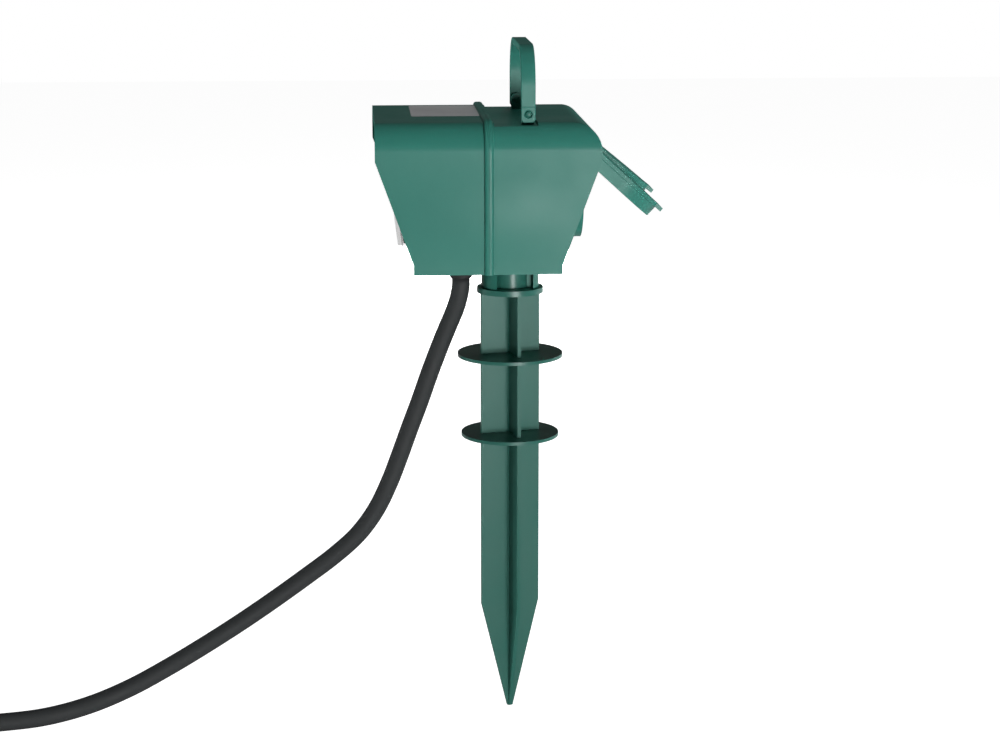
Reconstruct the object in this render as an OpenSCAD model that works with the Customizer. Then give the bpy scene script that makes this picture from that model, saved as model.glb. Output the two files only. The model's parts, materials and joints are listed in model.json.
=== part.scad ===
// Garden socket post: a green two-part head with two lidded sockets at the front, a 24-hour
// timer behind a clear cover at the rear, a folding handle, a cross-shaped ground stake and a cord.
// Millimetres. +X is the socket side, +Z is up, the origin is the tip of the stake on its axis.

/* [Stake] */
// Tip of the stake to the top of its collar
stake_len = 243; // [220:1:280]
// Length of the pointed end
point_len = 62; // [40:1:90]
// Width across two opposite fins
fin_span = 33.5; // [28:0.5:40]
// Thickness of a fin
fin_t = 2; // [1.6:0.2:3]
// Width of the blunt tip
tip_w = 3; // [2:0.5:5]
// Turn of the fins about the stake's axis, degrees
fin_turn = 14; // [0:1:40]
// Diameter of the collar under the neck
collar_d = 36.5; // [34:0.5:42]
// Thickness of the collar
collar_t = 3; // [2:0.5:5]
// Diameter of the upper disc
upper_disc_d = 58; // [50:1:70]
// Top of the upper disc below the top of the collar
upper_disc_drop = 37; // [30:1:45]
// Diameter of the lower disc
lower_disc_d = 54; // [46:1:66]
// Top of the lower disc below the top of the collar
lower_disc_drop = 82; // [65:1:95]
// Thickness of both discs
disc_t = 1.8; // [1.4:0.2:3]
// Diameter of the spigot that enters the neck
spigot_d = 20; // [18.5:0.5:21]

/* [Head] */
// Floor of the head above the top of the collar
floor_rise = 21; // [18:1:30]
// Roof of the head above its floor
roof_rise = 74; // [72:1:84]
// Half length of the head from its seam to the end of the hood
hood_half = 59; // [57:1:66]
// Half length of the cheeks at their lower edge
cheek_half = 36.5; // [34:0.5:42]
// Upright part of the cheek's end, below the roof
cheek_upright = 19; // [16:1:26]
// Height of the upright toe at the cheeks' lower end
cheek_toe = 5; // [3:0.5:8]
// Drop of the cheeks' lower edge below the floor
cheek_drop = 4.5; // [3:0.5:8]
// Width of the head across its cheeks
head_w = 118; // [116:1:130]
// Radius of the long edges and of the visor
edge_r = 14; // [12:0.5:15]
// Thickness of the roof and cheeks
wall = 3; // [2.6:0.1:3.6]
// Thickness of the front wall, rear wall and floor
inner_wall = 2.6; // [2:0.1:3]
// Front and rear wall from the seam
wall_half = 41.5; // [40.5:0.5:43]
// Size of the slope between the walls and the floor
knee = 8; // [6:0.5:8.5]
// Seam from the stake's axis, towards the rear
seam_back = 15; // [13:0.5:16]
// Width of the raised seam rib
rib_w = 4.5; // [3:0.5:6]
// Height of the seam rib
rib_h = 1.6; // [1:0.2:2.4]
// Height of the visor's front above its lower edge
visor_drop = 11; // [9:0.5:12]
// Depth of the handle's recess in the roof
recess_depth = 1.7; // [1:0.1:2]
// Length of the handle's recess along the head
recess_len = 23; // [22.5:0.5:30]

/* [Sockets] */
// Distance between the two sockets
socket_pitch = 54; // [53.5:0.5:56]
// Socket axis below the roof
socket_drop = 40; // [39:0.5:41]
// Inner diameter of a socket cup
cup_d = 39.5; // [38.5:0.5:40.5]
// Depth of a socket cup
cup_depth = 17.5; // [15:0.5:18]
// Outer diameter of a socket collar
socket_d = 46.6; // [45:0.2:47]
// How far the collar stands out of the front wall
socket_out = 8.9; // [8:0.1:9.4]
// Distance between the two pin holes
pin_pitch = 19; // [18:0.5:20]
// Diameter of a pin hole
pin_hole_d = 5.4; // [5:0.1:6]

/* [Lids] */
// Hinge axis below the roof
lid_hinge_drop = 13.2; // [12.5:0.1:14]
// Hinge axis in front of the front wall
lid_hinge_out = 9.5; // [9:0.1:10]
// Hinge axis to the tip of the lid
lid_len = 54.7; // [53:0.1:57]
// Thickness of the lid's plate
lid_t = 2.2; // [1.8:0.1:2.6]
// Depth of the lid's skirt
skirt_depth = 6.2; // [5:0.1:6.6]
// Opening of the near lid as it stands, degrees from closed
near_lid_open = 47.5; // [10:0.5:75]
// Opening of the far lid as it stands, degrees from closed
far_lid_open = 51; // [10:0.5:75]
// Diameter of the hinge rods
rod_d = 2.4; // [2:0.1:2.6]

/* [Timer] */
// Side of the square timer case
timer_w = 51; // [50:0.5:51.5]
// Depth of the timer case behind its flange
timer_depth = 18.5; // [18.3:0.1:19]
// Axis of the dial below the roof
dial_drop = 37; // [36.8:0.1:37.2]
// Diameter of the dial over its tappets
dial_d = 47; // [44:0.5:47.5]
// Number of tappets, one for each half hour
tappet_count = 48; // [24:12:48]
// Teeth of the dial's gear
dial_teeth = 48; // [40:4:48]
// Teeth of the motor's pinion
pinion_teeth = 12; // [10:2:12]
// Tooth module of the gear pair
gear_module = 0.6; // [0.5:0.05:0.6]
// Travel of the override slide
slide_travel = 3; // [2:0.5:3]
// Width of the clear cover
cover_w = 66; // [64:1:70]
// Thickness of the clear cover
cover_t = 2.2; // [1.8:0.1:2.6]

/* [Handle] */
// Distance between the middles of the two legs
handle_span = 86; // [76:1:87]
// Pins to the top of the handle
handle_rise = 35.2; // [30:0.2:45]
// Width of the strap
strap_w = 7.5; // [6:0.5:9]
// Thickness of the strap
strap_t = 3.5; // [3:0.1:4]
// Outer radius of the handle's corners
handle_r = 21; // [16:0.5:26]
// Diameter of the handle's pins
handle_pin_d = 4; // [3:0.1:4.4]
// Pins in front of the stake's axis
handle_fwd = 6.5; // [5:0.5:7]
// Pins above the roof's recess
handle_pin_rise = 5.5; // [5.3:0.1:7]

/* [Cord] */
// Diameter of the cord
cord_d = 10; // [8:0.5:10.5]
// Cord inlet behind the stake's axis
inlet_back = 27; // [26.5:0.5:27.5]
// Middle radius of the coil's outer turn
coil_r = 63; // [60:1:70]
// Turns in each of the coil's two layers
layer_turns = 1.25; // [1.25:1:2.25]
// Diameter of the plug's body
plug_d = 38; // [34:1:40]
// Length of the plug's body
plug_len = 58; // [50:1:70]

/* [Clearances] */
// Clearance of pieces that slide or swing
swing_gap = 0.4; // [0.3:0.05:0.5]
// Radial clearance of turning pins
pin_gap = 0.06; // [0.03:0.01:0.1]
// Clearance of pieces seated in one another
seat_gap = 0.15; // [0.1:0.05:0.25]

/* [Hidden] */
$fn = 64;
small_fn = 32;
eps = 0.5;

green = [0.11, 0.36, 0.29];
dark_green = [0.08, 0.27, 0.22];
black_rubber = [0.12, 0.12, 0.13];
black_plastic = [0.16, 0.17, 0.17];
grey_plastic = [0.75, 0.77, 0.76];
brass = [0.80, 0.66, 0.33];
steel = [0.72, 0.73, 0.75];
clear = [0.80, 0.83, 0.86, 0.5];

// Main levels and planes
floor_z = stake_len + floor_rise;
roof_z = floor_z + roof_rise;
cheek_z = floor_z - cheek_drop;
upright_z = roof_z - cheek_upright;
seam_x = -seam_back;
front_x = seam_x + wall_half;
rear_x = seam_x - wall_half;
inside_z = floor_z + inner_wall;
half_w = head_w / 2;
socket_z = roof_z - socket_drop;
collar_x = front_x + socket_out;
cup_floor_x = collar_x - cup_depth;
insert_back_x = cup_floor_x - inner_wall;
sides = [-1, 1];
lid_pivot = [front_x + lid_hinge_out, roof_z - lid_hinge_drop];

// Extrusion of an outline in X and Z along Y, and of an outline in Y and Z along X
module along_y(length) {
    rotate([90, 0, 0])
        linear_extrude(length, center = true)
            children();
}
module along_x(from, to) {
    translate([from, 0, 0])
        rotate([90, 0, 90])
            linear_extrude(to - from)
                children();
}
// Cylinders lying along X and Y
module rod_x(from, to, y, z, d) {
    translate([from, y, z])
        rotate([0, 90, 0])
            cylinder(d = d, h = to - from);
}
module rod_y(x, z, from, to, d) {
    translate([x, from, z])
        rotate([-90, 0, 0])
            cylinder(d = d, h = to - from);
}
module box(low, high) {
    translate(low)
        cube(high - low);
}
// A screw along +X: head, then shank. Heads go by the shank's diameter
head_wide = 1.85;
head_high = 0.65;
module screw_x(x, y, z, d, length) {
    rod_x(x - head_high * d, x, y, z, head_wide * d);
    rod_x(x, x + length, y, z, d);
}

// Outline of the head across its width, in Y and Z
module head_section(inset) {
    r = edge_r - inset;
    w = half_w - inset;
    top = roof_z - inset;
    low = cheek_z - (inset > 0 ? eps : 0);
    union() {
        translate([-w, low])
            square([2 * w, top - r - low]);
        translate([-w + r, top - r - eps])
            square([2 * (w - r), r + eps]);
        for (s = sides)
            translate([s * (w - r), top - r])
                circle(r);
    }
}
// Outline of half the head along its length, in X and Z
module half_outline(s) {
    polygon([[seam_x, cheek_z], [seam_x + s * cheek_half, cheek_z],
        [seam_x + s * cheek_half, cheek_z + cheek_toe],
        [seam_x + s * hood_half, upright_z], [seam_x + s * hood_half, roof_z], [seam_x, roof_z]]);
}
// The front half with its rounded visor
module front_outline() {
    difference() {
        half_outline(1);
        translate([seam_x + hood_half - edge_r, roof_z - edge_r])
            difference() {
                square(edge_r + eps);
                circle(edge_r);
            }
    }
}
// Space under the visor and between the cheeks, in X and Z
module front_hollow() {
    front = seam_x + hood_half - wall;
    union() {
        translate([seam_x - eps, cheek_z - eps])
            square([hood_half + 2 * eps, roof_z - visor_drop - cheek_z + eps]);
        difference() {
            translate([seam_x - eps, roof_z - edge_r - eps])
                square([front - seam_x + eps, edge_r - wall + eps]);
            translate([front - edge_r + wall, roof_z - edge_r])
                difference() {
                    square(edge_r);
                    circle(edge_r - wall);
                }
        }
    }
}
// Outline of the closed box between the cheeks, from the seam to one wall, in X and Z
function box_outline(inset, s) = [
    [seam_x - (inset > 0 ? s * eps : 0), roof_z - (inset > 0 ? wall : eps)],
    [seam_x + s * (wall_half - inset), roof_z - (inset > 0 ? wall : eps)],
    [seam_x + s * (wall_half - inset), floor_z + knee + inset * tan(22.5)],
    [seam_x + s * (wall_half - knee - inset * tan(22.5)), floor_z + inset],
    [seam_x - (inset > 0 ? s * eps : 0), floor_z + inset]];
module inner_box(s) {
    intersection() {
        along_y(head_w - wall)
            difference() {
                polygon(box_outline(0, s));
                polygon(box_outline(inner_wall, s));
            }
        along_x(seam_x - hood_half, seam_x + hood_half)
            head_section(wall / 2);
    }
}
// The seam rib, as a stepped hoop over the roof and down both cheeks, one half on each shell
rib_steps = [[1, 0.5], [0.6, 1]];
module seam_rib(s) {
    for (step = rib_steps)
        along_x(seam_x + min(0, s * step[0] * rib_w / 2), seam_x + max(0, s * step[0] * rib_w / 2))
            difference() {
                head_section(-step[1] * rib_h);
                head_section(wall / 2);
                translate([-head_w, cheek_z - head_w])
                    square([2 * head_w, head_w + eps]);
            }
}
// Groove for the seam gasket in the edge of both shells, and the gasket in it
gasket_w = 1.2;
gasket_t = 1.6;
gasket_inset = (wall - gasket_w) / 2;
module gasket_hoop(gap) {
    along_x(seam_x - gasket_t / 2 + gap, seam_x + gasket_t / 2 - gap)
        difference() {
            head_section(gasket_inset + gap);
            head_section(gasket_inset + gasket_w - gap);
            translate([-head_w, cheek_z - head_w])
                square([2 * head_w, head_w + wall]);
        }
}

// Screws that pull the shells together
shell_screw_d = 3;
shell_boss_d = 8.4;
shell_bore_gap = 0.2;
shell_screw_in = 17;
shell_screw_at = [for (s = sides, top = [0, 1])
    [s * (half_w - wall - 6.3), top ? roof_z - wall - 8 : inside_z + 5]];
shell_head_back = 23;
shell_head_x = seam_x - shell_head_back;
boss_web = 2.4;
// A screw boss along X, with a web to the cheek beside it
module shell_boss(from, to, at) {
    rod_x(from, to, at[0], at[1], shell_boss_d);
    box([from, min(at[0], sign(at[0]) * (half_w - wall / 2)), at[1] - boss_web / 2],
        [to, max(at[0], sign(at[0]) * (half_w - wall / 2)), at[1] + boss_web / 2]);
}

// Screw pillars behind the front wall, which hold the two inserts
collar_wall = 1.6;
insert_d = socket_d - 2 * collar_wall - 2 * seat_gap;
flange_d = socket_d + 2.4;
flange_t = 2;
ear_r = flange_d / 2 + 4;
ear_d = 7;
ear_t = 2;
ear_arm_w = ear_d - 1.4;
ear_x = front_x - inner_wall - flange_t - 2.4;
insert_screw_d = 3;
insert_screw_in = 4;
ears = [for (s = sides, diagonal = [1, -1])
    [s * (socket_pitch / 2 - diagonal * ear_r * sin(45)), socket_z + diagonal * ear_r * cos(45)]];

// Handle recess and the lugs that stand in it, just inside the handle's legs
recess_z = roof_z - recess_depth;
recess_x = [seam_x + rib_w / 2 + 1, seam_x + rib_w / 2 + 1 + recess_len];
handle_pin_z = recess_z + handle_pin_rise;
lug_out = handle_span / 2 - strap_t / 2 - swing_gap;
handle_lug_t = 3.6;
handle_lug_w = strap_w - 1;
module handle_lug(s) {
    low = s > 0 ? lug_out - handle_lug_t : -lug_out;
    box([handle_fwd - handle_lug_w / 2, low, recess_z - wall / 2],
        [handle_fwd + handle_lug_w / 2, low + handle_lug_t, handle_pin_z]);
    rod_y(handle_fwd, handle_pin_z, low, low + handle_lug_t, handle_lug_w);
}
// The roof is thicker below the handle's recess
module recess_backing() {
    along_x(seam_x, min(recess_x[1] + wall, front_x - eps))
        difference() {
            head_section(wall / 2);
            translate([-head_w, 0])
                square([2 * head_w, roof_z - wall - recess_depth]);
        }
}

// Lid hinge: the rod runs from cheek to cheek through a middle lug under the visor
lid_w = socket_pitch - 2;
barrel_d = 5.2;
mid_lug_t = 5;
rod_end = half_w - wall / 2;
module lid_mid_lug() {
    along_y(mid_lug_t)
        difference() {
            union() {
                translate(lid_pivot)
                    circle(d = barrel_d);
                translate([lid_pivot[0] - barrel_d / 2, lid_pivot[1]])
                    square([barrel_d, lid_hinge_drop - wall / 2]);
            }
            translate([seam_x + hood_half - edge_r, roof_z - edge_r])
                difference() {
                    square(edge_r + eps);
                    circle(edge_r - wall / 2);
                }
        }
}

// Neck: a sleeve screwed under the floor, with a window on each side
sleeve_d = collar_d - 5;
neck_rest = 0.2;
neck_screw_d = 3;
neck_screw_len = 9;
neck_screw_r = (sleeve_d + spigot_d) / 4;
neck_screws_at = [for (a = [45:90:315]) neck_screw_r * [cos(a), sin(a)]];
stake_screw_d = 4;
stake_screw_len = 16;
window_x = [-8, 12];
window_rise = 12;
screw_hole_gap = 0.3;
module neck_holes() {
    for (at = concat([[0, 0]], neck_screws_at))
        translate([at[0], at[1], floor_z - eps])
            cylinder(d = (at == [0, 0] ? stake_screw_d : neck_screw_d) + 2 * screw_hole_gap,
                h = inner_wall + 2 * eps);
}

module front_shell() {
    color(green)
        difference() {
            union() {
                difference() {
                    intersection() {
                        along_y(head_w)
                            front_outline();
                        along_x(seam_x, seam_x + hood_half)
                            head_section(0);
                    }
                    intersection() {
                        along_y(head_w)
                            front_hollow();
                        along_x(seam_x - eps, seam_x + hood_half + eps)
                            head_section(wall);
                    }
                }
                inner_box(1);
                seam_rib(1);
                recess_backing();
                lid_mid_lug();
                for (at = shell_screw_at)
                    shell_boss(seam_x, seam_x + shell_screw_in + wall, at);
                for (at = ears)
                    rod_x(ear_x, front_x - inner_wall / 2, at[0], at[1], ear_d);
                for (s = sides)
                    rod_x(front_x - inner_wall / 2, collar_x, s * socket_pitch / 2, socket_z, socket_d);
            }
            box([recess_x[0], -head_w, recess_z], [recess_x[1], head_w, roof_z + 2 * rib_h]);
            gasket_hoop(0);
            for (s = sides)
                rod_x(front_x - inner_wall - eps, collar_x + eps, s * socket_pitch / 2, socket_z,
                    insert_d + 2 * seat_gap);
            for (at = shell_screw_at)
                rod_x(seam_x - eps, seam_x + shell_screw_in, at[0], at[1], shell_screw_d + 2 * pin_gap);
            for (at = ears)
                rod_x(ear_x - eps, ear_x + insert_screw_in, at[0], at[1], insert_screw_d + 2 * pin_gap);
            rod_y(lid_pivot[0], lid_pivot[1], -rod_end, rod_end, rod_d + 2 * pin_gap);
            neck_holes();
        }
    color(green)
        difference() {
            union()
                for (s = sides)
                    handle_lug(s);
            rod_y(handle_fwd, handle_pin_z, -half_w, half_w, handle_pin_d + 2 * pin_gap);
        }
}

// Timer places: flange on the rear wall, dial well in front of a base plate, works behind it
dial_z = roof_z - dial_drop;
timer_flange_t = 2;
timer_flange_w = timer_w + 3;
timer_wall = 2;
well_depth = 6;
base_x = rear_x - timer_flange_t + well_depth;
base_t = 2;
works_x = base_x + base_t;
back_x = rear_x + timer_depth - base_t;
axle_d = 4;

// Cover hinge and its two lugs under the roof
cover_pivot = [rear_x - 3.5, roof_z - 7.2];
cover_barrel_d = 4.4;
cover_out = rear_x - 7;
cover_low = dial_z - cover_w / 2 + 1;
cover_lug_t = 3;
cover_rod_end = cover_w / 2 + swing_gap + cover_lug_t;
module cover_lugs() {
    for (s = sides)
        translate([0, s * (cover_w / 2 + swing_gap + cover_lug_t / 2), 0])
            along_y(cover_lug_t)
                union() {
                    translate(cover_pivot)
                        circle(d = cover_barrel_d);
                    translate([cover_pivot[0] - cover_barrel_d / 2, cover_pivot[1]])
                        square([cover_barrel_d, roof_z - wall / 2 - cover_pivot[1]]);
                }
}

// Cord inlet: the grommet's hole in the floor and the post of the cord clamp
inlet_x = -inlet_back;
grommet_d = cord_d + 4.8;
grommet_lip = 1;
grommet_lip_t = 2;
clamp_rise = 2.4;
clamp_h = 12;
clamp_z = [inside_z + grommet_lip_t + clamp_rise, inside_z + grommet_lip_t + clamp_rise + clamp_h];
clamp_half = 13;
clamp_screw_d = 3;
clamp_screw_y = cord_d / 2 + 4.5;
clamp_screw_z = (clamp_z[0] + clamp_z[1]) / 2;
clamp_x = [inlet_x - 7.5, inlet_x - 2];
clamp_screw_len = 16;
post_x = [inlet_x + 2, seam_x - 0.4];
module clamp_post() {
    difference() {
        box([post_x[0], -clamp_half - 1, floor_z + inner_wall / 2], [post_x[1], clamp_half + 1, clamp_z[1]]);
        translate([inlet_x, 0, 0])
            cylinder(d = cord_d + 2 * seat_gap, h = roof_z);
        translate([inlet_x, 0, 0])
            cylinder(d = grommet_d + 2 * grommet_lip + 2 * swing_gap, h = inside_z + grommet_lip_t + swing_gap);
        for (s = sides)
            rod_x(post_x[0] - eps, clamp_x[0] + clamp_screw_len + eps, s * clamp_screw_y, clamp_screw_z,
                clamp_screw_d + 2 * pin_gap);
    }
}
catch_w = 12;
catch_out = 1.4;
tongue_z = [cover_low + 0.6, cover_low + 2.8];
module cover_catch() {
    box([rear_x - catch_out, -catch_w / 2, tongue_z[1] + swing_gap],
        [rear_x + inner_wall / 2, catch_w / 2, floor_z + knee + 1]);
}

module rear_shell() {
    color(green)
        difference() {
            union() {
                difference() {
                    intersection() {
                        along_y(head_w)
                            half_outline(-1);
                        along_x(seam_x - hood_half, seam_x)
                            head_section(0);
                    }
                    along_x(seam_x - hood_half - eps, seam_x + eps)
                        head_section(wall);
                }
                inner_box(-1);
                seam_rib(-1);
                cover_lugs();
                clamp_post();
                cover_catch();
                for (at = shell_screw_at)
                    shell_boss(shell_head_x - wall, seam_x, at);
            }
            gasket_hoop(0);
            box([rear_x - eps, -timer_w / 2 - seat_gap, dial_z - timer_w / 2 - seat_gap],
                [rear_x + inner_wall + eps, timer_w / 2 + seat_gap, dial_z + timer_w / 2 + seat_gap]);
            for (at = shell_screw_at) {
                rod_x(shell_head_x - eps, seam_x + eps, at[0], at[1], shell_screw_d + 2 * shell_bore_gap);
                rod_x(rear_x - knee, shell_head_x, at[0], at[1],
                    head_wide * shell_screw_d + 2 * shell_bore_gap);
            }
            translate([inlet_x, 0, floor_z - eps])
                cylinder(d = grommet_d, h = inner_wall + 2 * eps);
            rod_y(cover_pivot[0], cover_pivot[1], -cover_rod_end - eps, cover_rod_end + eps,
                rod_d + 2 * pin_gap);
        }
}

module seam_gasket() {
    color(black_rubber)
        gasket_hoop(seat_gap / 3);
}

module shell_screws() {
    color(steel)
        for (at = shell_screw_at)
            screw_x(shell_head_x, at[0], at[1], shell_screw_d, seam_x + shell_screw_in - 1 - shell_head_x);
}

// One earthed socket insert: flange, cup and two screw ears
insert_set = 0.4;
clip_w = 6;
clip_t = 1;
clip_r = cup_d / 2 - 1.5;
module socket_insert(s) {
    y = s * socket_pitch / 2;
    color(black_plastic)
        difference() {
            union() {
                rod_x(insert_back_x, collar_x - insert_set, y, socket_z, insert_d);
                rod_x(front_x - inner_wall - flange_t, front_x - inner_wall, y, socket_z, flange_d);
                for (at = ears)
                    if (at[0] * s > 0) {
                        rod_x(ear_x - ear_t, ear_x, at[0], at[1], ear_d);
                        translate([ear_x - ear_t, y, socket_z])
                            rotate([atan2(at[1] - socket_z, at[0] - y), 0, 0])
                                translate([0, 0, -ear_arm_w / 2])
                                    cube([ear_t, ear_r, ear_arm_w]);
                    }
            }
            rod_x(cup_floor_x, collar_x + eps, y, socket_z, cup_d);
            for (p = sides)
                rod_x(insert_back_x - eps, cup_floor_x + eps, y + p * pin_pitch / 2, socket_z, pin_hole_d);
            for (p = sides)
                box([insert_back_x - eps, y - clip_w / 2 - swing_gap,
                        socket_z + p * clip_r - clip_t / 2 - swing_gap],
                    [cup_floor_x + eps, y + clip_w / 2 + swing_gap,
                        socket_z + p * clip_r + clip_t / 2 + swing_gap]);
            for (at = ears)
                rod_x(ear_x - ear_t - eps, ear_x + eps, at[0], at[1], insert_screw_d + 2 * screw_hole_gap);
        }
}
module insert_screws() {
    color(steel)
        for (at = ears)
            screw_x(ear_x - ear_t, at[0], at[1], insert_screw_d, ear_t + insert_screw_in - eps);
}

// Contact bars: sleeves behind the pin holes, joined by a strip
sleeve_len = 17;
contact_wall = 1.1;
contact_bore_d = pin_hole_d + 0.8;
contact_d = contact_bore_d + 2 * contact_wall;
strip_t = 1;
strip_w = 5;
strip_rise = 8;
bar_x = insert_back_x - sleeve_len;
function pin_y(s, p) = s * socket_pitch / 2 + p * pin_pitch / 2;
module contact_bar(ys, up) {
    color(brass) {
        for (y = ys) {
            difference() {
                rod_x(bar_x, insert_back_x, y, socket_z, contact_d);
                rod_x(bar_x + strip_t, insert_back_x + eps, y, socket_z, contact_bore_d);
            }
            box([bar_x, y - contact_d / 4, min(socket_z, socket_z + up * strip_rise)],
                [bar_x + strip_t, y + contact_d / 4, max(socket_z, socket_z + up * strip_rise)]);
        }
        box([bar_x, min(ys), socket_z + up * strip_rise - strip_w / 2],
            [bar_x + strip_t, max(ys), socket_z + up * strip_rise + strip_w / 2]);
    }
}
clip_out = 13;
module earth_bar() {
    color(brass) {
        for (s = sides) {
            y = s * socket_pitch / 2;
            box([insert_back_x - strip_t, y - clip_w / 2, socket_z - clip_r - clip_t / 2],
                [insert_back_x, y + clip_w / 2, socket_z + clip_r + clip_t / 2]);
            for (p = sides)
                box([insert_back_x - strip_t, y - clip_w / 2, socket_z + p * clip_r - clip_t / 2],
                    [cup_floor_x + clip_out, y + clip_w / 2, socket_z + p * clip_r + clip_t / 2]);
        }
        box([insert_back_x - strip_t, -socket_pitch / 2, socket_z - clip_r - clip_t / 2],
            [insert_back_x, socket_pitch / 2, socket_z - clip_r + strip_w]);
    }
}

// A lid, modelled closed and swung open about its rod
lid_face = 1.5;
skirt_in_d = socket_d + 1.4;
skirt_out_d = lid_w - 0.4;
skirt_top = 8;
skirt_side = [skirt_in_d / 2 + 0.1, skirt_out_d / 2 - 0.1];
skirt_stop = 3.8;
lip_w = 22;
hinge_notch = 5;
module swung(s) {
    translate([lid_pivot[0], 0, lid_pivot[1]])
        rotate([0, -(s < 0 ? near_lid_open : far_lid_open), 0])
            translate([-lid_pivot[0], 0, -lid_pivot[1]])
                children();
}
module lid(s) {
    y = s * socket_pitch / 2;
    plate_x = lid_pivot[0] + lid_face;
    barrel = [mid_lug_t / 2 + swing_gap, socket_pitch / 2 + lid_w / 2 - 1];
    color(dark_green)
        swung(s)
            difference() {
                union() {
                    rod_y(lid_pivot[0], lid_pivot[1], s > 0 ? barrel[0] : -barrel[1],
                        s > 0 ? barrel[1] : -barrel[0], barrel_d);
                    rod_x(plate_x, plate_x + lid_t, y, socket_z, lid_w);
                    box([plate_x, y - lid_w / 2, socket_z], [plate_x + lid_t, y + lid_w / 2, lid_pivot[1]]);
                    box([plate_x, y - lip_w / 2, lid_pivot[1] - lid_len],
                        [plate_x + lid_t, y + lip_w / 2, socket_z]);
                    difference() {
                        rod_x(plate_x - skirt_depth, plate_x + lid_t / 2, y, socket_z, skirt_out_d);
                        rod_x(plate_x - skirt_depth - eps, plate_x, y, socket_z, skirt_in_d);
                        box([plate_x - skirt_depth - eps, y - lid_w, socket_z + skirt_top],
                            [plate_x + lid_t + eps, y + lid_w, roof_z]);
                    }
                    for (p = sides)
                        box([plate_x - skirt_depth, y + min(p * skirt_side[0], p * skirt_side[1]), socket_z],
                            [plate_x + lid_t / 2, y + max(p * skirt_side[0], p * skirt_side[1]),
                                lid_pivot[1] - skirt_stop]);
                }
                rod_y(lid_pivot[0], lid_pivot[1], -head_w, head_w, rod_d + 2 * pin_gap);
                box([plate_x - eps, -barrel[0], lid_pivot[1] - hinge_notch],
                    [plate_x + lid_t + eps, barrel[0], lid_pivot[1] + barrel_d]);
            }
}
seal_t = 1.6;
module lid_seal(s) {
    plate_x = lid_pivot[0] + lid_face;
    color(black_rubber)
        swung(s)
            difference() {
                rod_x(plate_x - seal_t, plate_x, s * socket_pitch / 2, socket_z, socket_d - 1);
                rod_x(plate_x - seal_t - eps, plate_x + eps, s * socket_pitch / 2, socket_z, cup_d + 1);
            }
}
module lid_hinge_rod() {
    color(steel)
        rod_y(lid_pivot[0], lid_pivot[1], -rod_end + seat_gap, rod_end - seat_gap, rod_d);
}

// The timer: case with dial well, back plate, dial with gear, tappets, slide, motor, pinion, contact
well_d = dial_d + 1.6;
pinion_turn = 45;
gear_apart = gear_module * (dial_teeth + pinion_teeth) / 2;
pinion_at = [gear_apart * cos(pinion_turn), dial_z + gear_apart * sin(pinion_turn)];
motor_d = 21;
motor_len = 10;
motor_shaft_d = 2;
corner_boss_d = 6;
corner_boss_at = [for (s = sides) [s * (timer_w / 2 - 4.5), dial_z - s * (timer_w / 2 - 4.5)]];
timer_screw_d = 2.5;
timer_screw_len = 8;
slide_w = 3.4;
slide_h = 3.2;
slide_deep = 4;
slide_at = [timer_w / 2 - slide_w / 2 - swing_gap - 0.4, dial_z - timer_w / 2 + slide_h / 2 + swing_gap + 0.8];
snap_rib = 0.8;
module square_bar(from, to, side) {
    box([from, -side / 2, dial_z - side / 2], [to, side / 2, dial_z + side / 2]);
}
module timer_case() {
    color(grey_plastic)
        difference() {
            union() {
                square_bar(rear_x - timer_flange_t, rear_x, timer_flange_w);
                difference() {
                    square_bar(rear_x - timer_flange_t, back_x, timer_w);
                    square_bar(works_x, back_x + eps, timer_w - 2 * timer_wall);
                }
                for (at = corner_boss_at)
                    rod_x(base_x, back_x, at[0], at[1], corner_boss_d);
                for (s = sides)
                    box([rear_x + inner_wall + seat_gap, s * timer_w / 2 - snap_rib, dial_z - timer_w / 4],
                        [rear_x + inner_wall + seat_gap + 2, s * timer_w / 2 + snap_rib, dial_z + timer_w / 4]);
            }
            difference() {
                rod_x(rear_x - timer_flange_t - eps, base_x, 0, dial_z, well_d);
                rod_x(rear_x - timer_flange_t - 2 * eps, base_x + eps, 0, dial_z, axle_d);
            }
            rod_x(base_x - eps, works_x + eps, pinion_at[0], pinion_at[1], motor_shaft_d + 2 * swing_gap);
            box([rear_x - timer_flange_t - eps, slide_at[0] - slide_w / 2 - slide_travel - swing_gap,
                    slide_at[1] - slide_h / 2 - swing_gap],
                [rear_x - timer_flange_t + slide_deep + swing_gap, slide_at[0] + slide_w / 2 + swing_gap,
                    slide_at[1] + slide_h / 2 + swing_gap]);
            for (at = corner_boss_at)
                rod_x(back_x - timer_screw_len, back_x + eps, at[0], at[1], timer_screw_d + 2 * pin_gap);
        }
}
module timer_back() {
    color(grey_plastic)
        difference() {
            square_bar(back_x, back_x + base_t, timer_w);
            for (at = corner_boss_at)
                rod_x(back_x - eps, back_x + base_t + eps, at[0], at[1], timer_screw_d + 2 * screw_hole_gap);
        }
}
module timer_screws() {
    color(steel)
        for (at = corner_boss_at) {
            rod_x(back_x + base_t, back_x + base_t + head_high * timer_screw_d, at[0], at[1],
                head_wide * timer_screw_d);
            rod_x(back_x - timer_screw_len + 1, back_x + base_t + eps, at[0], at[1], timer_screw_d);
        }
}
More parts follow.
